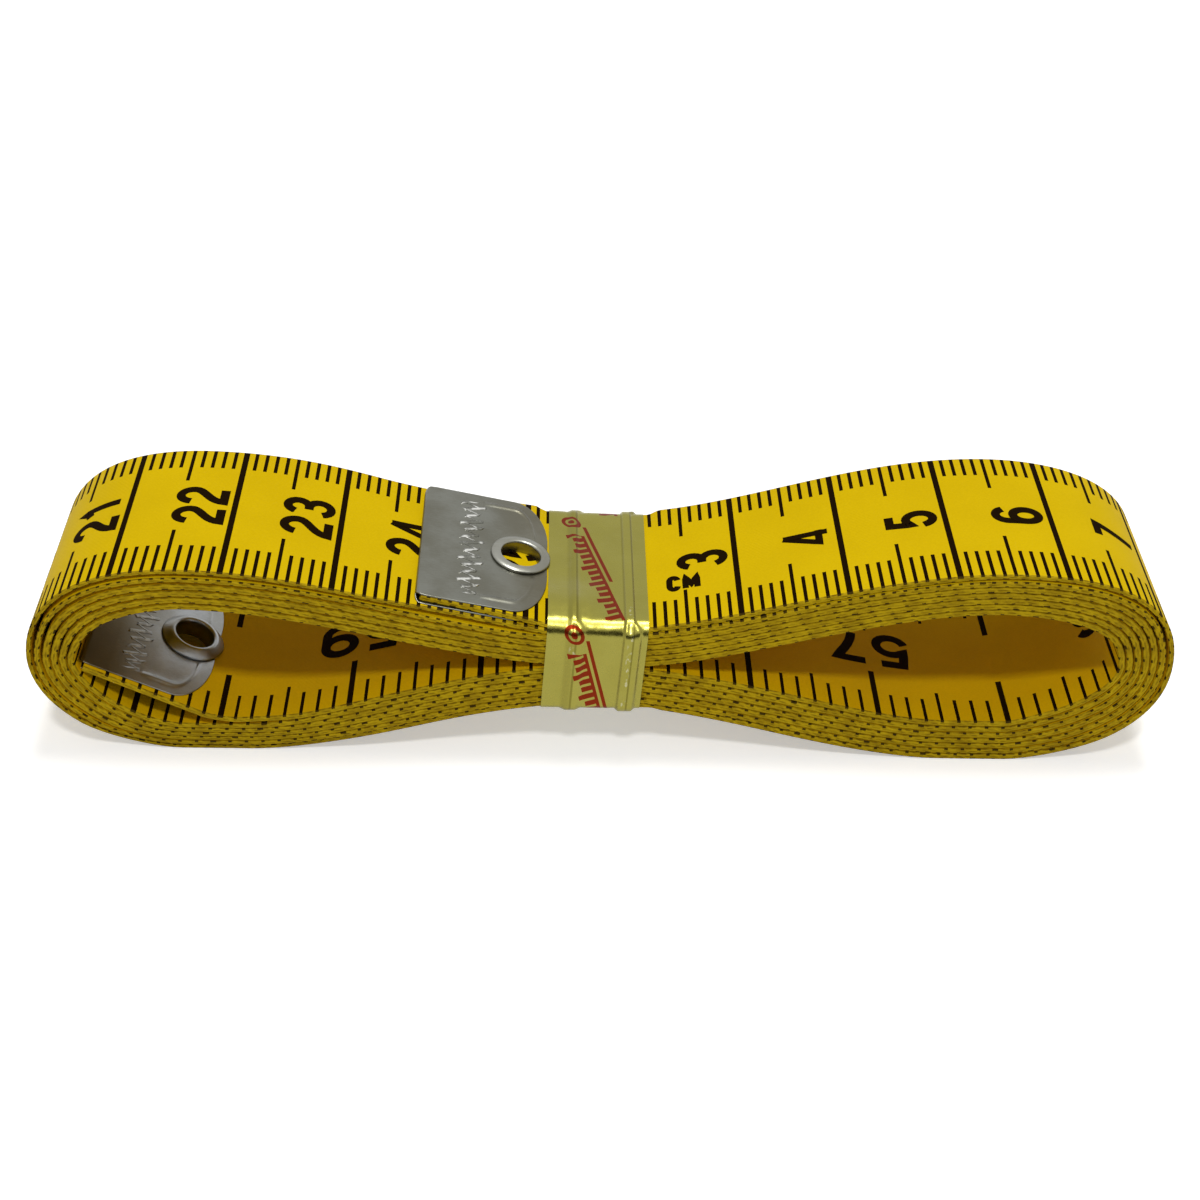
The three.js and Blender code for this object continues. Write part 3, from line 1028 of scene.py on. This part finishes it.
def tape_section():
    """Corners of the tape's section as (across, depth), round from the outer face's front edge."""
    inset = half_width - edge_corner
    bevel = edge_corner * (1 - math.sqrt(0.5))
    outer_stops = {-inset, inset, *half_centimetre_ends, *unit_mark_ends, *centimetre_tick_ends}
    inner_stops = {-inset, inset, *inch_ends, *half_inch_ends, *quarter_inch_ends, *inch_tick_ends}
    outer = [(y, 0) for y in sorted(outer_stops)]
    inner = [(y, tape_thickness) for y in sorted(inner_stops, reverse=True)]
    back = [
        (half_width - bevel, bevel), (half_width, edge_corner), (half_width, tape_thickness / 2),
        (half_width, tape_thickness - edge_corner), (half_width - bevel, tape_thickness - bevel),
    ]
    front = [(-y, depth) for y, depth in reversed(back)]
    return outer, back, inner, front


# How far the turns open out sideways, over what distance from the waist and what heights
left_opening = 0.05
right_opening = 0.025
opening_run = (12, 30)
opening_heights = (0.3, 3.5)
back_closing = 0.07
back_closing_run = (38, 52)


def spread(x, y, z):
    """Where a place across the tape stands once the turns have opened out in the two lobes."""
    opening = left_opening * ease(-x, *opening_run) + right_opening * ease(x, *opening_run)
    wide = 1 + opening * ease(z, *opening_heights)
    if y > 0:
        wide -= back_closing * ease(x, *back_closing_run)
    return y * wide


def band_top(x):
    share = min(max((x - band_high.x) / band_width + 1, 0), 1)
    return band_top_left + (band_top_right - band_top_left) * share - band_sag * 4 * share * (1 - share)


def squeezed(x, y, z):
    """Keeps the tape's edges inside the band's rounded loop."""
    hold = hump(x, *band_hold_run)
    if hold == 0:
        return y, z
    gap = foil_thickness + band_clearance
    top, bottom, half = band_top(x) - gap, band_bottom_left + gap, band_half - gap
    corner = (band_top_corner if z > (top + bottom) / 2 else band_bottom_corner) - gap
    centre = Vector((
        min(max(y, corner - half), half - corner),
        min(max(z, bottom + corner), top - corner),
    ))
    off = Vector((y, z)) - centre
    if off.length <= corner:
        return y, z
    held = Vector((y, z)).lerp(centre + off.normalized() * corner, hold)
    return held.x, held.y


# By length along the tape: where it thins and by what share, where it shifts across and by how much, where it
# stands forward, and where the outer tip lifts it
loose_runs = (((30, 44, 66, 80), 0.2), ((146, 168, 226, 238), 0.27), ((388, 408, 452, 474), 0.2))
layer_shifts = ((180, 276, -0.16), (432, 552, 0.06), (840, 1344, 0.1))
forward_run = (50, 66, 104, 122)
forward_shift = 0.16
stray_before_end = 5
lifted_run = (221, 230, 233, 240)
lift_height = 0.2


def slimness(length):
    """The share of its thickness that the tape keeps where the outer turns lie loose on the left lobe."""
    return 1 - sum(lost * hump(length, *run) for run, lost in loose_runs)


def lift(length):
    """How far the tape stands up under the outer tip."""
    return lift_height * hump(length, *lifted_run)


def layer_shift(length):
    """How far a turn stands back from the others."""
    shift = sum(amount * ease(length, start, end) for start, end, amount in layer_shifts)
    shift += lift(length) - forward_shift * hump(length, *forward_run)
    past = length - winding.end
    return shift - inner_end_stray * ease(past, -stray_before_end, inner_free_length)


def wound_place(length, depth):
    """A place in the winding, by its length along the tape and its depth under the tape's outer face."""
    face, inward = winding.at(length)
    return settled(face + inward * (depth - lift(length))) + parted(length)


def is_inked(scale, length, y):
    if not scale.start <= length <= scale.end:
        return False
    count = round((length - scale.zero) / scale.step)
    width, front, back = scale.mark(count)
    return abs(length - scale.zero - count * scale.step) < width / 2 and (y < front or y > back)


# Places of the strip's materials, after the cloth at 0
ink_slot, edge_slot, inch_slot = 1, 2, 3


def cut_hole(bm, centre, along, upward):
    """Opens the tape round an eyelet's bore."""
    radius = eyelet_bore / 2 + hole_clearance
    angles = [2 * math.pi * side / hole_sides for side in range(hole_sides)]
    ways = [along * math.cos(angle) + across * math.sin(angle) for angle in angles]
    for way in ways:
        near = [f for f in bm.faces if abs((f.calc_center_median() - centre).dot(along)) < 2 * radius]
        geometry = set(near) | {e for f in near for e in f.edges} | {v for f in near for v in f.verts}
        bmesh.ops.bisect_plane(bm, geom=list(geometry), dist=0.0001,
                               plane_co=centre + way * radius, plane_no=way)
    inside = []
    for face in bm.faces:
        off = face.calc_center_median() - centre
        if abs(off.dot(upward)) < tape_thickness and all(off.dot(way) < radius for way in ways):
            inside.append(face)
    bmesh.ops.delete(bm, geom=inside, context="FACES")
    rim = [e for e in bm.edges if e.is_boundary]
    for face in bmesh.ops.bridge_loops(bm, edges=rim)["faces"]:
        face.material_index = edge_slot


# Where a strip starts on the baked picture, along it and round it, and how much of the picture it takes
bake_starts = (0.002, 0.01)
bake_shares = (0.99, 0.98)


def paint_strip(bm, cell_of, columns, run, section):
    """Gives a strip's faces cloth, ink or edge, and their places on the tape and on a baked picture."""
    outer, back, inner, front = section
    ring = outer + back + inner + front
    last_outer, last_inner = len(outer) - 1, len(ring) - len(front) - 1
    edges = {*range(last_outer, last_outer + len(back) + 1), *range(last_inner, len(ring))}
    around = lengths_round(ring)
    start, end = run
    rows = max(1, round(math.sqrt((end - start) / around[-1])))
    row_length = (end - start) / rows
    tape_map = bm.loops.layers.uv.new("Tape")
    bake_map = bm.loops.layers.uv.new("OFBake")
    for face in bm.faces:
        cells = [cell_of[loop.vert] for loop in face.loops]
        i, j = min(cell[0] for cell in cells), min(cell[1] for cell in cells)
        length = (columns[i] + columns[i + 1]) / 2
        y = (ring[j][0] + ring[(j + 1) % len(ring)][0]) / 2
        row = min(int((length - start) / row_length), rows - 1)
        face.smooth = True
        if j in edges:
            face.material_index = edge_slot
        elif is_inked(centimetres if j <= last_outer else inches, length, y):
            face.material_index = ink_slot
        elif j > last_outer:
            face.material_index = inch_slot
        for loop, (column, corner) in zip(face.loops, cells):
            y, depth = ring[corner % len(ring)]
            loop[tape_map].uv = (columns[column], depth / tape_thickness if j in edges else y)
            loop[bake_map].uv = (
                bake_starts[0] + bake_shares[0] * (columns[column] - start - row * row_length) / row_length,
                (row + bake_starts[1] + bake_shares[1] * around[corner] / around[-1]) / rows,
            )


def tape_strip(name, path, start, end, join=0, trims=(0, 0), hole=None):
    """A strip of printed tape with woven edges, along a path, trimmed at its edges away from the join."""
    columns = tape_columns(start, end)
    section = tape_section()
    ring = sum(section, [])
    bm, cell_of = grid(len(columns) - 1, len(ring))
    stations = [(length, *path.at(length), layer_shift(length)) for length in columns]
    for vert, (i, j) in cell_of.items():
        length, face, inward, shift = stations[i]
        y, depth = ring[j % len(ring)]
        held_depth = depth * slimness(length)
        point = wound_place(length, held_depth) if path is winding else face + inward * held_depth
        edge_side = 0 if y < 0 else 1
        trim = trims[edge_side] * min(abs(length - join) / trim_runs[edge_side], 1)
        y_place = spread(point.x, y * (1 - trim), point.y) + shift
        vert.co = (point.x, *squeezed(point.x, y_place, point.y))
    paint_strip(bm, cell_of, columns, (start, end), section)
    bmesh.ops.remove_doubles(bm, verts=bm.verts, dist=0.001)
    bmesh.ops.holes_fill(bm, edges=[e for e in bm.edges if e.is_boundary], sides=0)
    if hole:
        cut_hole(bm, *hole)
    bmesh.ops.recalc_face_normals(bm, faces=bm.faces)
    return finish_mesh(bm, name, (cloth, ink, edge, shaded_inch_cloth), sharp=60)


def build_tape():
    wound = tape_strip("wound_tape", winding, join_length, winding.end)
    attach(wound, "bundle")
    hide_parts("tape_coil")
    (winding.end - join_length) * MM
    for side, path, join in (("outer", outer_end, outer_end.end), ("inner", inner_end, inner_end.start)):
        end = ends[side]
        place = end_matrix(end)
        turn = place.to_3x3()
        hole = (place @ Vector((-eyelet_from_tip_end, 0, 0)),
                turn @ Vector((1, 0, 0)), turn @ Vector((0, 0, 1)))
        strip = tape_strip(f"{side}_tape_end", path, path.start, path.end, join, end.trims, hole)
        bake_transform(strip)
        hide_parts(f"tape_{side}_end")
        (path.end - path.start) * MM


build_tape()


# Numbers

def arc(x, y, width, height, start, end, steps=14):
    """Points of an arc in a box of that width and height, centred on x and y, by degrees from the right."""
    angles = [math.radians(start + (end - start) * step / steps) for step in range(steps + 1)]
    return [(x + width / 2 * math.cos(a), y + height / 2 * math.sin(a)) for a in angles]


def bent(*points, steps=10):
    """Points of a curve between two ends with a handle on each."""
    handles = [Vector(point) for point in points]
    return [tuple(curve_at(handles, step / steps)[0]) for step in range(steps + 1)]


# The middle lines of each figure's strokes, in a box of one by one. One that ends where it starts is a loop.
six = [
    arc(0.5, 0.3, 1, 0.6, 180, 540, 28),
    [(0, 0.3), (0, 0.7)] + arc(0.5, 0.72, 1, 0.56, 180, 20),
]
figures = {
    "0": [arc(0.5, 0.7, 1, 0.6, 0, 180) + arc(0.5, 0.3, 1, 0.6, 180, 360) + [(1, 0.7)]],
    "1": [[(0.08, 0.74), (0.4, 0.8), (0.6, 1), (0.6, 0)]],
    "2": [arc(0.5, 0.71, 1, 0.58, 172, 0) + bent((1, 0.7), (1, 0.45), (0.02, 0.36), (0, 0)) + [(1, 0)]],
    "3": [
        arc(0.5, 0.755, 0.92, 0.49, 165, -90) + [(0.3, 0.51)],
        [(0.3, 0.51)] + arc(0.5, 0.255, 1, 0.51, 90, -165),
    ],
    "4": [[(0.77, 0), (0.77, 1)], [(0.77, 1), (0, 0.2), (1, 0.2)]],
    "5": [[(0.92, 1), (0.14, 1), (0.05, 0.5)] + arc(0.49, 0.31, 1.02, 0.62, 130, -165, 20)],
    "6": six,
    "7": [[(0, 1), (1, 1)] + bent((1, 1), (0.75, 0.7), (0.42, 0.4), (0.36, 0))],
    "8": [arc(0.5, 0.755, 0.86, 0.49, 90, 450, 28), arc(0.5, 0.255, 1, 0.51, 90, 450, 28)],
    "9": [[(1 - x, 1 - y) for x, y in stroke] for stroke in six],
    "C": [arc(0.5, 0.7, 1, 0.6, 12, 180) + arc(0.5, 0.3, 1, 0.6, 180, 348)],
    "M": [[(0, 0), (0, 1), (0.5, 0.25), (1, 1), (1, 0)]],
}
width_shares = {"C": 0.8}
stroke_shares = {"4": 0.84}

Lettering = namedtuple("Lettering", "width height stroke gap")
centimetre_lettering = Lettering(2.7, 4.95, 0.85, 0.34)
inch_lettering = Lettering(3.85, 5.1, 0.95, 0.5)
unit_lettering = Lettering(1.72, 2.45, 0.6, 0.14)
centimetre_counts = range(2, 27)
inch_counts = range(50, 60)
number_before_line = 0.7
two_figures_back = 0.5
inch_number_base = 2.95
inch_number_back = 0.4
unit_start = 23.25
unit_front = -4.4
ink_thickness = 0.03
ink_sunk = 0.012
ink_step_up = 0.006
ink_step = 0.5
ink_corner_limit = 0.6
nearly_touching = 0.01


def fine_points(points):
    """The same line with no step longer than the ink step, so that it can bend with the tape."""
    fine = [points[0]]
    for point in points[1:]:
        last, length = fine[-1], math.dist(fine[-1], point)
        if length >= nearly_touching:
            parts = math.ceil(length / ink_step)
            fine += [tuple(a + (b - a) * part / parts for a, b in zip(last, point))
                     for part in range(1, parts + 1)]
    return fine


def draw_stroke(bm, points, width, level):
    """A flat ribbon of ink along a line, with full corners, and joined up where the line is a loop."""
    points = [Vector(point) for point in fine_points(points)]
    is_loop = (points[0] - points[-1]).length < nearly_touching
    rows = []
    for k, point in enumerate(points):
        before = points[k - 1] if k else (points[-2] if is_loop else None)
        after = points[k + 1] if k < len(points) - 1 else (points[1] if is_loop else None)
        ways = [(point - before).normalized()] if before is not None else []
        ways += [(after - point).normalized()] if after is not None else []
        way = sum(ways, Vector((0, 0))).normalized()
        side = turned_left(way) * width / 2 / max(way.dot(ways[0]), ink_corner_limit)
        rows.append((point + side, point - side))
    pair = [bm.verts.new((*place, level)) for place in rows[0]]
    line = bm.edges.new(pair)
    for row in rows[1:]:
        first = pair[0].co.xy
        lines, fresh = extruded(bm, [line])
        line = lines[0]
        pair = sorted(fresh, key=lambda vert: (vert.co.xy - first).length)
        for vert, place in zip(pair, row):
            vert.co = (*place, level)


def text_solid(text, lettering):
    """Figures side by side, flat, with their lower left corner at zero."""
    bm = bmesh.new()
    left_side = 0
    for letter in text:
        wide = lettering.width * width_shares.get(letter, 1)
        bold = lettering.stroke * stroke_shares.get(letter, 1)
        for number, line in enumerate(figures[letter]):
            points = [(left_side + bold / 2 + x * (wide - bold), bold / 2 + y * (lettering.height - bold))
                      for x, y in line]
            draw_stroke(bm, points, bold, number * ink_step_up)
        left_side += wide + lettering.gap
    bmesh.ops.remove_doubles(bm, verts=bm.verts, dist=0.002)
    bmesh.ops.recalc_face_normals(bm, faces=bm.faces)
    bmesh.ops.solidify(bm, geom=bm.faces, thickness=ink_thickness)
    lowest = min(vert.co.z for vert in bm.verts)
    bmesh.ops.translate(bm, verts=bm.verts, vec=(0, 0, -lowest))
    return bm


def text_width(text, lettering):
    return len(text) * (lettering.width + lettering.gap) - lettering.gap


def print_numbers(name, entries, is_inner):
    """Wraps flat numbers on to the tape: an entry is a flat mesh and its way of reading as (length, y)."""
    whole = bmesh.new()
    for flat, place in entries:
        for vert in flat.verts:
            length, y = place(vert.co.x, vert.co.y)
            height = vert.co.z - ink_sunk
            point = wound_place(length, tape_thickness + height if is_inner else -height)
            vert.co = (point.x, spread(point.x, y, point.y) + layer_shift(length), point.y)
        mesh = bpy.data.meshes.new("flat")
        flat.to_mesh(mesh)
        flat.free()
        whole.from_mesh(mesh)
        bpy.data.meshes.remove(mesh)
    bmesh.ops.recalc_face_normals(whole, faces=whole.faces)
    piece = finish_mesh(whole, name, (ink,))
    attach(piece, "bundle")


def centimetre_entry(count):
    text = str(count)
    base = centimetre_zero + 10 * count - number_before_line
    middle = two_figures_back if len(text) > 1 else 0.0
    front = middle - text_width(text, centimetre_lettering) / 2
    return text_solid(text, centimetre_lettering), lambda x, y: (base - y, front + x)


def inch_entry(count):
    text = str(count)
    start = inch_zero + count * inch - inch_number_back - text_width(text, inch_lettering) / 2
    return text_solid(text, inch_lettering), lambda x, y: (start + x, inch_number_base - y)


def unit_entry():
    return text_solid("CM", unit_lettering), lambda x, y: (centimetre_zero + unit_start + x, unit_front + y)


print_numbers("centimetre_numbers", [centimetre_entry(k) for k in centimetre_counts] + [unit_entry()], False)
print_numbers("inch_numbers", [inch_entry(k) for k in inch_counts], True)


# Tips and eyelets

tip_rings = (0, 0.12, 0.3, 0.6, 0.9, 1.03, 1.15, 1.26, 1.37, 1.48, 1.6, 1.75, 1.95)
tip_inner_rings = 8
tip_bore = eyelet_bore / 2 + 0.32
tip_ring_room = 0.8
tip_edge_bevel = 0.05
tip_sharp_angle = 50
open_edge_steps = 8
corner_steps = 20
side_steps = 14
fold_edge_steps = 32
ridge_height = 0.09
ridge_half_width = 0.1
ridge_fade_length = 0.8
dish_depth = 0.05
dish_run = (2.9, 4.2)
fold_steps = 6


def tip_outline():
    """The outline of one side of a tip, round its eyelet, with the open edge at x = 0."""
    half = tip_width / 2
    corner_x = -tip_corner_along
    back_side = arc(corner_x, tip_corner_side, 2 * tip_corner_along, 2 * tip_corner_across,
                    0, 90, corner_steps)
    back_side += [(corner_x - (fold_from_edge + corner_x) * step / side_steps, half)
                  for step in range(1, side_steps + 1)]
    front_side = [(x, -y) for x, y in reversed(back_side)]
    open_edge = [(0, tip_corner_side * (2 * step / open_edge_steps - 1))
                 for step in range(1, open_edge_steps)]
    fold_edge = [(-fold_from_edge, half * (1 - 2 * step / fold_edge_steps))
                 for step in range(1, fold_edge_steps)]
    return open_edge + back_side + fold_edge + front_side


def tip_dish(x, y):
    """How far a tip's sheet is pressed in round its eyelet."""
    return dish_depth * (1 - ease(math.hypot(x + eyelet_from_tip_end, y), *dish_run))


def tip_ridge(x, y):
    """The height of the ridge pressed into each open corner of a tip."""
    from_edge, side = -x, abs(y)
    if from_edge > ridge_starts_at or side < ridge_clear_of_eyelet:
        return 0
    into_corner = min(from_edge - tip_corner_along, 0) / (tip_corner_along - ridge_in_corner)
    off_corner = max(side - tip_corner_side, 0) / (tip_corner_across - ridge_in_corner)
    fading = 1 - ease(from_edge, ridge_starts_at - ridge_fade_length, ridge_starts_at)
    off_ridge = abs(math.hypot(into_corner, off_corner) - 1)
    return ridge_height * fading * (1 - ease(off_ridge, 0, ridge_half_width))


def tip_loops():
    """Loops of places on one side of a tip, from its bore out to its outline."""
    outline = [Vector(point) for point in tip_outline()]
    eyelet = Vector((-eyelet_from_tip_end, 0))
    loops = []
    for distance in tip_rings:
        loop = []
        for point in outline:
            way = eyelet - point
            share = min(1, tip_ring_room * (way.length - tip_bore) / tip_rings[-1])
            loop.append(point + way.normalized() * distance * share)
        loops.append(loop)
    innermost = loops[-1]
    rim = [eyelet + (point - eyelet).normalized() * tip_bore for point in outline]
    for step in range(1, tip_inner_rings + 1):
        loops.append([point.lerp(end, step / tip_inner_rings) for point, end in zip(innermost, rim)])
    return loops[::-1]


def tip_side():
    """The upper side of a tip, drawn out ring by ring from its bore."""
    loops = tip_loops()
    count = len(loops[0])
    bm = bmesh.new()
    bmesh.ops.create_circle(bm, segments=count, radius=tip_bore)
    ring = list(bm.verts)
    for number, loop in enumerate(loops):
        if number:
            fresh = extruded(bm, [bm.edges.get((ring[k], ring[(k + 1) % count])) for k in range(count)])[1]
            ring = [next(e.other_vert(vert) for e in vert.link_edges if e.other_vert(vert) in fresh)
                    for vert in ring]
        for vert, (x, y) in zip(ring, loop):
            vert.co = (x, y, tip_height / 2 - tip_dish(x, y) + tip_ridge(x, y))
    return bm


def fold_tip(bm):
    """Rolls a tip's far edge through a quarter turn, and mirrors the sheet below."""
    line = [edge for edge in bm.edges if edge.is_boundary
            and all(abs(vert.co.x + fold_from_edge) < 0.001 for vert in edge.verts)]
    for step in range(1, fold_steps + 1):
        angle = math.pi / 2 * step / fold_steps
        line, fresh = extruded(bm, line)
        for vert in fresh:
            vert.co.x = -fold_from_edge - tip_height / 2 * math.sin(angle)
            vert.co.z = tip_height / 2 * math.cos(angle)
    bmesh.ops.mirror(bm, geom=bm.verts[:] + bm.edges[:] + bm.faces[:], axis="Z", merge_dist=0.001)
    bmesh.ops.remove_doubles(bm, verts=bm.verts, dist=0.0005)


def build_tip(side, lean):
    bm = tip_side()
    fold_tip(bm)
    for vert in bm.verts:
        into = max(tip_fold_corner - tip_length - vert.co.x, 0)
        round_off = tip_fold_corner - math.sqrt(max(tip_fold_corner ** 2 - into ** 2, 0))
        vert.co.y *= 1 - round_off / (tip_width / 2)
        vert.co.y -= lean * (0.5 - vert.co.z / tip_height)
    thicken(bm, tip_sheet)
    sharp = [edge for edge in bm.edges if len(edge.link_faces) == 2
             and edge.calc_face_angle(0) > math.radians(tip_sharp_angle)]
    bmesh.ops.bevel(bm, geom=sharp, offset=tip_edge_bevel, segments=2, profile=0.5,
                    affect="EDGES", material=-1)
    tip_map = bm.loops.layers.uv.new("Tip")
    for face in bm.faces:
        for loop in face.loops:
            loop[tip_map].uv = (-loop.vert.co.x, loop.vert.co.y)
    bmesh.ops.transform(bm, matrix=end_matrix(ends[side]), verts=bm.verts)
    piece = finish_mesh(bm, f"{side}_metal_tip", (stamped_steels[side],), tip_sharp_angle)
    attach(piece, f"{side}_end")
    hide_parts(f"{side}_tip")


# Sections of the two rings: corners of the head as (radius, height above the tip), and of the rolled foot as
# (radius, height above the tip's underside)
bore_radius = eyelet_bore / 2
ring_heads = {
    "outer": ((bore_radius + 0.3, -0.1), (2.8, -0.05), (2.88, 0.03), (2.86, 0.16), (2.74, 0.25), (2.2, 0.33),
              (2.02, 0.31), (1.92, 0.22), (bore_radius, 0.08)),
    "inner": ((bore_radius + 0.3, -0.1), (3.05, -0.05), (3.12, 0.08), (3.02, 0.2), (2.42, 0.68), (2.28, 0.78),
              (2.1, 0.79), (1.96, 0.7), (bore_radius, 0.5)),
}
ring_feet = {
    "outer": ((bore_radius, -0.12), (bore_radius + 0.1, -0.15), (2.7, -0.1), (2.72, -0.04),
              (bore_radius + 0.3, 0.05)),
    "inner": ((bore_radius, -0.3), (bore_radius + 0.1, -0.34), (2.8, -0.26), (2.8, -0.14),
              (bore_radius + 0.3, 0.05)),
}


def build_eyelet(side):
    """A rolled ring through a tip: a flat head on the centimetre face, or a raised cone on the inch face."""
    section = [(radius, tip_height / 2 + rise) for radius, rise in ring_heads[side]]
    section += [(radius, -tip_height / 2 + rise) for radius, rise in ring_feet[side]]
    bm = bmesh.new()
    verts = [bm.verts.new((radius, 0, z)) for radius, z in section]
    edges = [bm.edges.new((verts[k - 1], verts[k])) for k in range(len(verts))]
    bmesh.ops.spin(bm, geom=verts + edges, cent=(0, 0, 0), axis=(0, 0, 1), dvec=(0, 0, 0),
                   angle=2 * math.pi, steps=72, use_merge=True, use_duplicate=False)
    bmesh.ops.remove_doubles(bm, verts=bm.verts, dist=0.0005)
    bmesh.ops.recalc_face_normals(bm, faces=bm.faces)
    place = end_matrix(ends[side]) @ Matrix.Translation((-eyelet_from_tip_end, 0, 0))
    bmesh.ops.transform(bm, matrix=place, verts=bm.verts)
    piece = finish_mesh(bm, f"{side}_ring", (steels[side],), sharp=70)
    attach(piece, f"{side}_end")
    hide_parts(f"{side}_eyelet")


for side, lean in (("outer", outer_tip_lean), ("inner", 0)):
    build_tip(side, lean)
    build_eyelet(side)


# The band

rib_places = (2.45, 7.6)
rib_half_widths = (0.12, 0.3)
rib_softness = (0.5, 0.24)
rib_heights = (0.17, 0.18)
front_rib_widening = 0.25
front_rib_softening = 0.22
front_rib_aside = 0.28
front_rib_heights = (0.26, 0.32)
crinkle_depth = 0.05
dent_depth = 0.22
dent_reach = 0.5
dent_turn = 48
dent_turn_reach = 17
front_bulge = 0.36
front_bulge_run = (2, 6, 6.3, 9.2)
front_bulge_fade = (2.5, 6)
band_columns = 110
band_flat_steps = {0: 22, 90: 36, 180: 22, 270: 36}
band_corner_steps = 10


def band_ring(top, bottom, half):
    """The band's loop round the waist, from under its back edge: places and outward ways as (y, z)."""
    corners = (
        (half - band_bottom_corner, bottom + band_bottom_corner, band_bottom_corner, -90),
        (half - band_top_corner, top - band_top_corner, band_top_corner, 0),
        (band_top_corner - half, top - band_top_corner, band_top_corner, 90),
        (band_bottom_corner - half, bottom + band_bottom_corner, band_bottom_corner, 180),
    )
    loop = []
    for number, (y, z, radius, start) in enumerate(corners):
        for step in range(band_corner_steps + 1):
            angle = math.radians(start + 90 * step / band_corner_steps)
            way = Vector((math.cos(angle), math.sin(angle)))
            loop.append((Vector((y, z)) + way * radius, way))
        next_y, next_z, next_radius = corners[(number + 1) % len(corners)][:3]
        next_place = Vector((next_y, next_z)) + way * next_radius
        place = loop[-1][0]
        steps = band_flat_steps[start + 90]
        loop += [(place.lerp(next_place, step / steps), way) for step in range(1, steps)]
    return loop


def band_relief(x, place, way):
    """How far the foil stands out: two pleats, their dents in the front fold, and fine crinkles."""
    facing = ease(abs(way.x), 0.3, 0.9) if way.y > -0.3 else 1
    fold = math.degrees(math.atan2(-way.x, way.y))
    relief = 0
    for rib, half, soft, height, front_height in zip(
            rib_places, rib_half_widths, rib_softness, rib_heights, front_rib_heights):
        half += front_rib_widening * facing
        soft += front_rib_softening * facing
        low, high = (rib + front_rib_aside * facing + end for end in (-half, half))
        relief += (height + (front_height - height) * facing) * hump(x, low - soft, low, high, high + soft)
        off_dent = ((x - rib) / dent_reach) ** 2 + ((fold - dent_turn) / dent_turn_reach) ** 2
        relief -= dent_depth * math.exp(-off_dent)
    if way.y > 0:
        relief += front_bulge * hump(-place.x, *front_bulge_run) * way.y * (1 - ease(x, *front_bulge_fade))
    coarse = noise.noise(Vector((x * 0.5, place.x * 0.3, place.y * 0.3)))
    fine = noise.noise(Vector((x * 1.7, place.x * 0.9 + 9, place.y * 0.9)))
    return relief + crinkle_depth * (coarse + 0.4 * fine)


def band_rings():
    """The band's loops from its left edge to its right one, with the pleats raised."""
    rings = []
    for column in range(band_columns + 1):
        share = column / band_columns
        x = band_width * share
        top = band_top(band_high.x - band_width + x)
        bottom = band_bottom_left + (band_bottom_right - band_bottom_left) * share
        ring = []
        for place, way in band_ring(top, bottom, band_half):
            raised = place + way * band_relief(x, place, way)
            rise = (place.y - bottom) / (top - bottom)
            ring.append(Vector((band_low.x + x + band_lean * rise, raised.x, raised.y)))
        rings.append(ring)
    return rings


def build_band():
    rings = band_rings()
    ring_size = len(rings[0])
    middle = [place for place, way in band_ring(band_top_left, band_bottom_left, band_half)]
    around = lengths_round(middle)
    back_corner = next(k for k, place in enumerate(middle) if abs(place.y - band_top_left) < 0.001)
    bm, cell_of = grid(band_columns, ring_size)
    for vert, (i, j) in cell_of.items():
        vert.co = rings[i][j % ring_size]
    foil_map = bm.loops.layers.uv.new("Foil")
    for face in bm.faces:
        for loop in face.loops:
            i, j = cell_of[loop.vert]
            loop[foil_map].uv = (band_width * i / band_columns, around[j] - around[back_corner])
    bmesh.ops.remove_doubles(bm, verts=bm.verts, dist=0.0005)
    thicken(bm, foil_thickness)
    piece = finish_mesh(bm, "waist_band", (foil,), sharp=60)
    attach(piece, "bundle")
    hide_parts("foil_band")


build_band()
